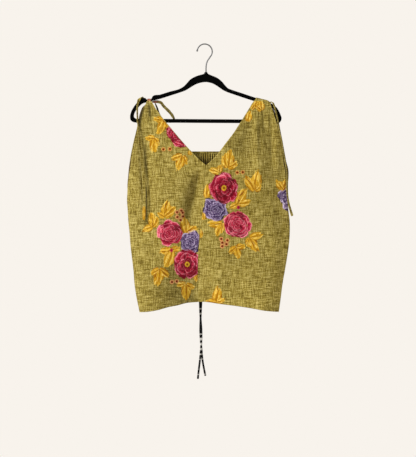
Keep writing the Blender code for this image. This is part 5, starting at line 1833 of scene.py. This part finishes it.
def inside_front(side, x, z):
    """True where a point is on this half of the front, clear of its edges."""
    out = -1.0 if side == "left" else 1.0
    on_neck = z > NECK_POINT_Z
    inner = np.where(on_neck, FRONT_NECK.at(side, z), FRONT_SEAM.at("x", z))
    inner = inner + out * np.where(on_neck, CLEAR_OF_NECK, CLEAR_OF_SEAM)
    outer = outer_edge("front", side, z) - out * CLEAR_OF_EDGE
    low = with_hem(x, np.full_like(z, HEM_Z)) + CLEAR_OF_HEM
    return (out * (x - inner) > 0) & (out * (outer - x) > 0) & (z > low) & (z < PRINT_TOP_Z)


def cut_to_panel(rows, side):
    """Keep each stitch from its end on the panel to where it leaves the panel."""
    start_in, end_in = (inside_front(side, *rows[:, part].T) for part in (START, END))
    kept = start_in | end_in
    rows, start_in, end_in = rows[kept], start_in[kept], end_in[kept]
    turned = ~start_in[:, None]
    good = np.where(turned, rows[:, END], rows[:, START])
    way = np.where(turned, rows[:, START], rows[:, END]) - good
    low = np.zeros(len(rows))
    high = np.ones(len(rows))
    for _ in range(HALVINGS):
        middle = 0.5 * (low + high)
        inside = inside_front(side, *(good + way * middle[:, None]).T)
        low = np.where(inside, middle, low)
        high = np.where(inside, high, middle)
    cut = good + way * np.where(start_in & end_in, 1.0, low)[:, None]
    rows[:, START] = np.where(turned, cut, good)
    rows[:, END] = np.where(turned, good, cut)
    return rows[np.linalg.norm(rows[:, END] - rows[:, START], axis=1) > SHORTEST_STITCH]


for side in ("left", "right"):
    panel_rows = cut_to_panel(stitch_rows[side], side)
    # painted shade and painted light of the cloth under each stitch's start go onto its dyes
    light = 1 - THREAD_SHADE * front_shade(*panel_rows[:, START].T)[:, None]
    panel_rows[:, DYE_START] *= light
    panel_rows[:, DYE_END] *= light
    stitch_mesh(f"embroidery_{side}", panel_rows, on_front)

# %% [markdown]
# ## Edge stitches
#
# A fine line of running stitches holds the folded edges of the neck, the armholes and the hem.
# They are the same small lenses, set end to end along a line that keeps its distance from the
# edge.

# %% Topstitching
TOPSTITCH = 2.9
TOPSTITCH_GAP = 1.3
FROM_NECK = 6.4
FROM_ARMHOLE = 5.2
FROM_HEM = 13.0
TOPSTITCH_DYE = (0.40, 0.33, 0.075)


def running_stitches(stitches, x, z):
    """Stitches of even length along a line of points."""
    line = np.column_stack([x, z])
    lengths = lengths_along(line)
    starts = np.arange(1.0, lengths[-1] - TOPSTITCH, TOPSTITCH + TOPSTITCH_GAP)
    start = read_line(starts, lengths, line)
    end = read_line(starts + TOPSTITCH, lengths, line)
    sew(stitches, start, end, 0.8, 0.35, 0.1, TOPSTITCH_DYE, TOPSTITCH_DYE)


edge_stitches = []
for side, out, *hem in (("left", -1.0, -30, -196, 160), ("right", 1.0, -16, 208, 200)):
    heights = np.linspace(NECK_POINT_Z + 8, -180, 200)
    running_stitches(edge_stitches, FRONT_NECK.at(side, heights) + out * FROM_NECK, heights)
    heights = np.linspace(ARMHOLE_BOTTOM_Z + 22, -200, 200)
    armhole = outer_edge("front", side, heights) - out * FROM_ARMHOLE
    running_stitches(edge_stitches, armhole, heights)
    across = np.linspace(*hem)
    running_stitches(edge_stitches, across, HEM.at("z", across) + FROM_HEM)
stitch_mesh("edge_stitches", np.concatenate(edge_stitches), on_front)

# %% [markdown]
# ## A leaf on the left tie
#
# The ties were cut from the same cloth, so the end of the left one carries a piece of a golden
# leaf. Its stitches are placed by the distance across the ribbon and from the ribbon's end.

# %% Tie leaf
TAIL_LEAF_SIZE = (44.0, 8.0)


def on_tail(across, from_end, lift):
    """A point on the ribbon's face: the line at that length, + across * width + lift * out."""
    directions = curve_through(LEFT_TAIL, RIBBON_STEP)
    along = lengths_along(directions[0])
    place, wide, out = (read_line(along[-1] - from_end, along, values) for values in directions)
    facing = np.where(out[..., 1:2] < 0, 1.0, -1.0)
    return place + wide * across[..., None] + out * facing * (0.5 * TIE_THICKNESS + lift)[..., None]


tail_stitches = []
leaf(tail_stitches, (0, 1.5), 90, *TAIL_LEAF_SIZE, {**LEAF_LOBE, "bend": 0.02, "drop": 0.2})
tail_leaf = stitch_mesh("tie_leaf", np.concatenate(tail_stitches), on_tail)

# %% [markdown]
# ## The panels' cut sizes
#
# Each tie and each drawstring end is a free cord with its own length, and each panel is a sheet
# that was cut flat before it was hung. The back was cut wider than it hangs, because the gathers
# take up cloth. Each panel's cut size is printed here.


# Each panel as it was cut, with an estimated 5 to 6 mm turned under: width, length, area
CUTS = (
    (fronts["left"], 0.262, 0.66, 0.118, "hung"),
    (fronts["right"], 0.300, 0.67, 0.144, "hung"),
    (back, 0.56, 0.66, 0.256, "gathered"),
)
for panel, cut_width, cut_length, cut_area, held in CUTS:
    print(panel.name, "was cut from", cut_width, "by", cut_length, "m:", cut_area, "square metres")

# %% [markdown]
# ## Light and surroundings
#
# The photo is lit softly from the front and from the upper left, before an ivory ground. A
# square light of 1.1 m is the key, a wider, weaker one fills from the right, a third lights the
# back for the other views, and the world gives the rest. The camera sees the world as plain ivory.

# %% Light
IVORY = (0.939, 0.896, 0.839, 1)


def area_light(name, place, target, size, power, colour=(1, 1, 1)):
    """A square light at a place in metres, turned towards a point."""
    data = bpy.data.lights.new(name, "AREA")
    data.size = size
    data.energy = power
    data.color = colour
    light = bpy.data.objects.new(name, data)
    light.location = place
    way = [b - a for a, b in zip(place, target)]
    flat = math.hypot(way[0], way[1])
    light.rotation_euler = (math.atan2(flat, -way[2]), 0, math.atan2(way[1], way[0]) - math.pi / 2)
    bpy.context.scene.collection.objects.link(light)
    return light


MIDDLE = (0.0, 0.0, -0.45)
area_light("key", (-2.8, -2.3, 1.3), MIDDLE, 1.1, 150)
area_light("fill", (1.4, -3.6, 0.7), MIDDLE, 2.4, 30)
area_light("back", (0.6, 3.0, 1.2), MIDDLE, 2.4, 75)

world = bpy.data.worlds.new("ivory_world")
bpy.context.scene.world = world
world.use_nodes = True
sky = world.node_tree
sky.nodes.clear()
seen = add_node(sky, "Background", {"Color": IVORY, "Strength": 1.0})
ambient = add_node(sky, "Background", {"Color": (0.97, 0.95, 0.92, 1), "Strength": 0.28})
rays = add_node(sky, "LightPath")
by_ray = {0: rays.outputs["Is Camera Ray"], 1: ambient.outputs[0], 2: seen.outputs[0]}
add_node(sky, "OutputWorld", {0: add_node(sky, "MixShader", by_ray).outputs[0]})

# %% Floor
FLOOR_Z = -1.6
FLOOR_RADIUS = 3.2
FLOOR_RINGS = 12
FLOOR_SIDES = 96
FLOOR_DARK = (0.80, 0.77, 0.72, 1)
FLOOR_LIGHT = (0.84, 0.81, 0.76, 1)


def make_floor():
    """A round, pale floor far below the hem."""
    material, tree, shader = new_material("pale_floor", 0.9)
    tint(tree, shader, object_noise(tree, 3.0, 2.0), FLOOR_DARK, FLOOR_LIGHT)
    angle = section_angles(FLOOR_SIDES)
    radius = np.linspace(0.02, 1, FLOOR_RINGS)[:, None] * FLOOR_RADIUS
    level = np.full((FLOOR_RINGS, FLOOR_SIDES), FLOOR_Z)
    points = np.stack([radius * np.cos(angle), radius * np.sin(angle), level], axis=-1)
    mesh = bpy.data.meshes.new("floor")
    faces = grid_faces(FLOOR_RINGS, FLOOR_SIDES, wrap_columns=True).tolist()
    mesh.from_pydata(points.reshape(-1, 3).tolist(), [], faces + [list(range(FLOOR_SIDES))])
    mesh.materials.append(material)
    floor = bpy.data.objects.new("floor", mesh)
    bpy.context.scene.collection.objects.link(floor)
    return floor


make_floor()
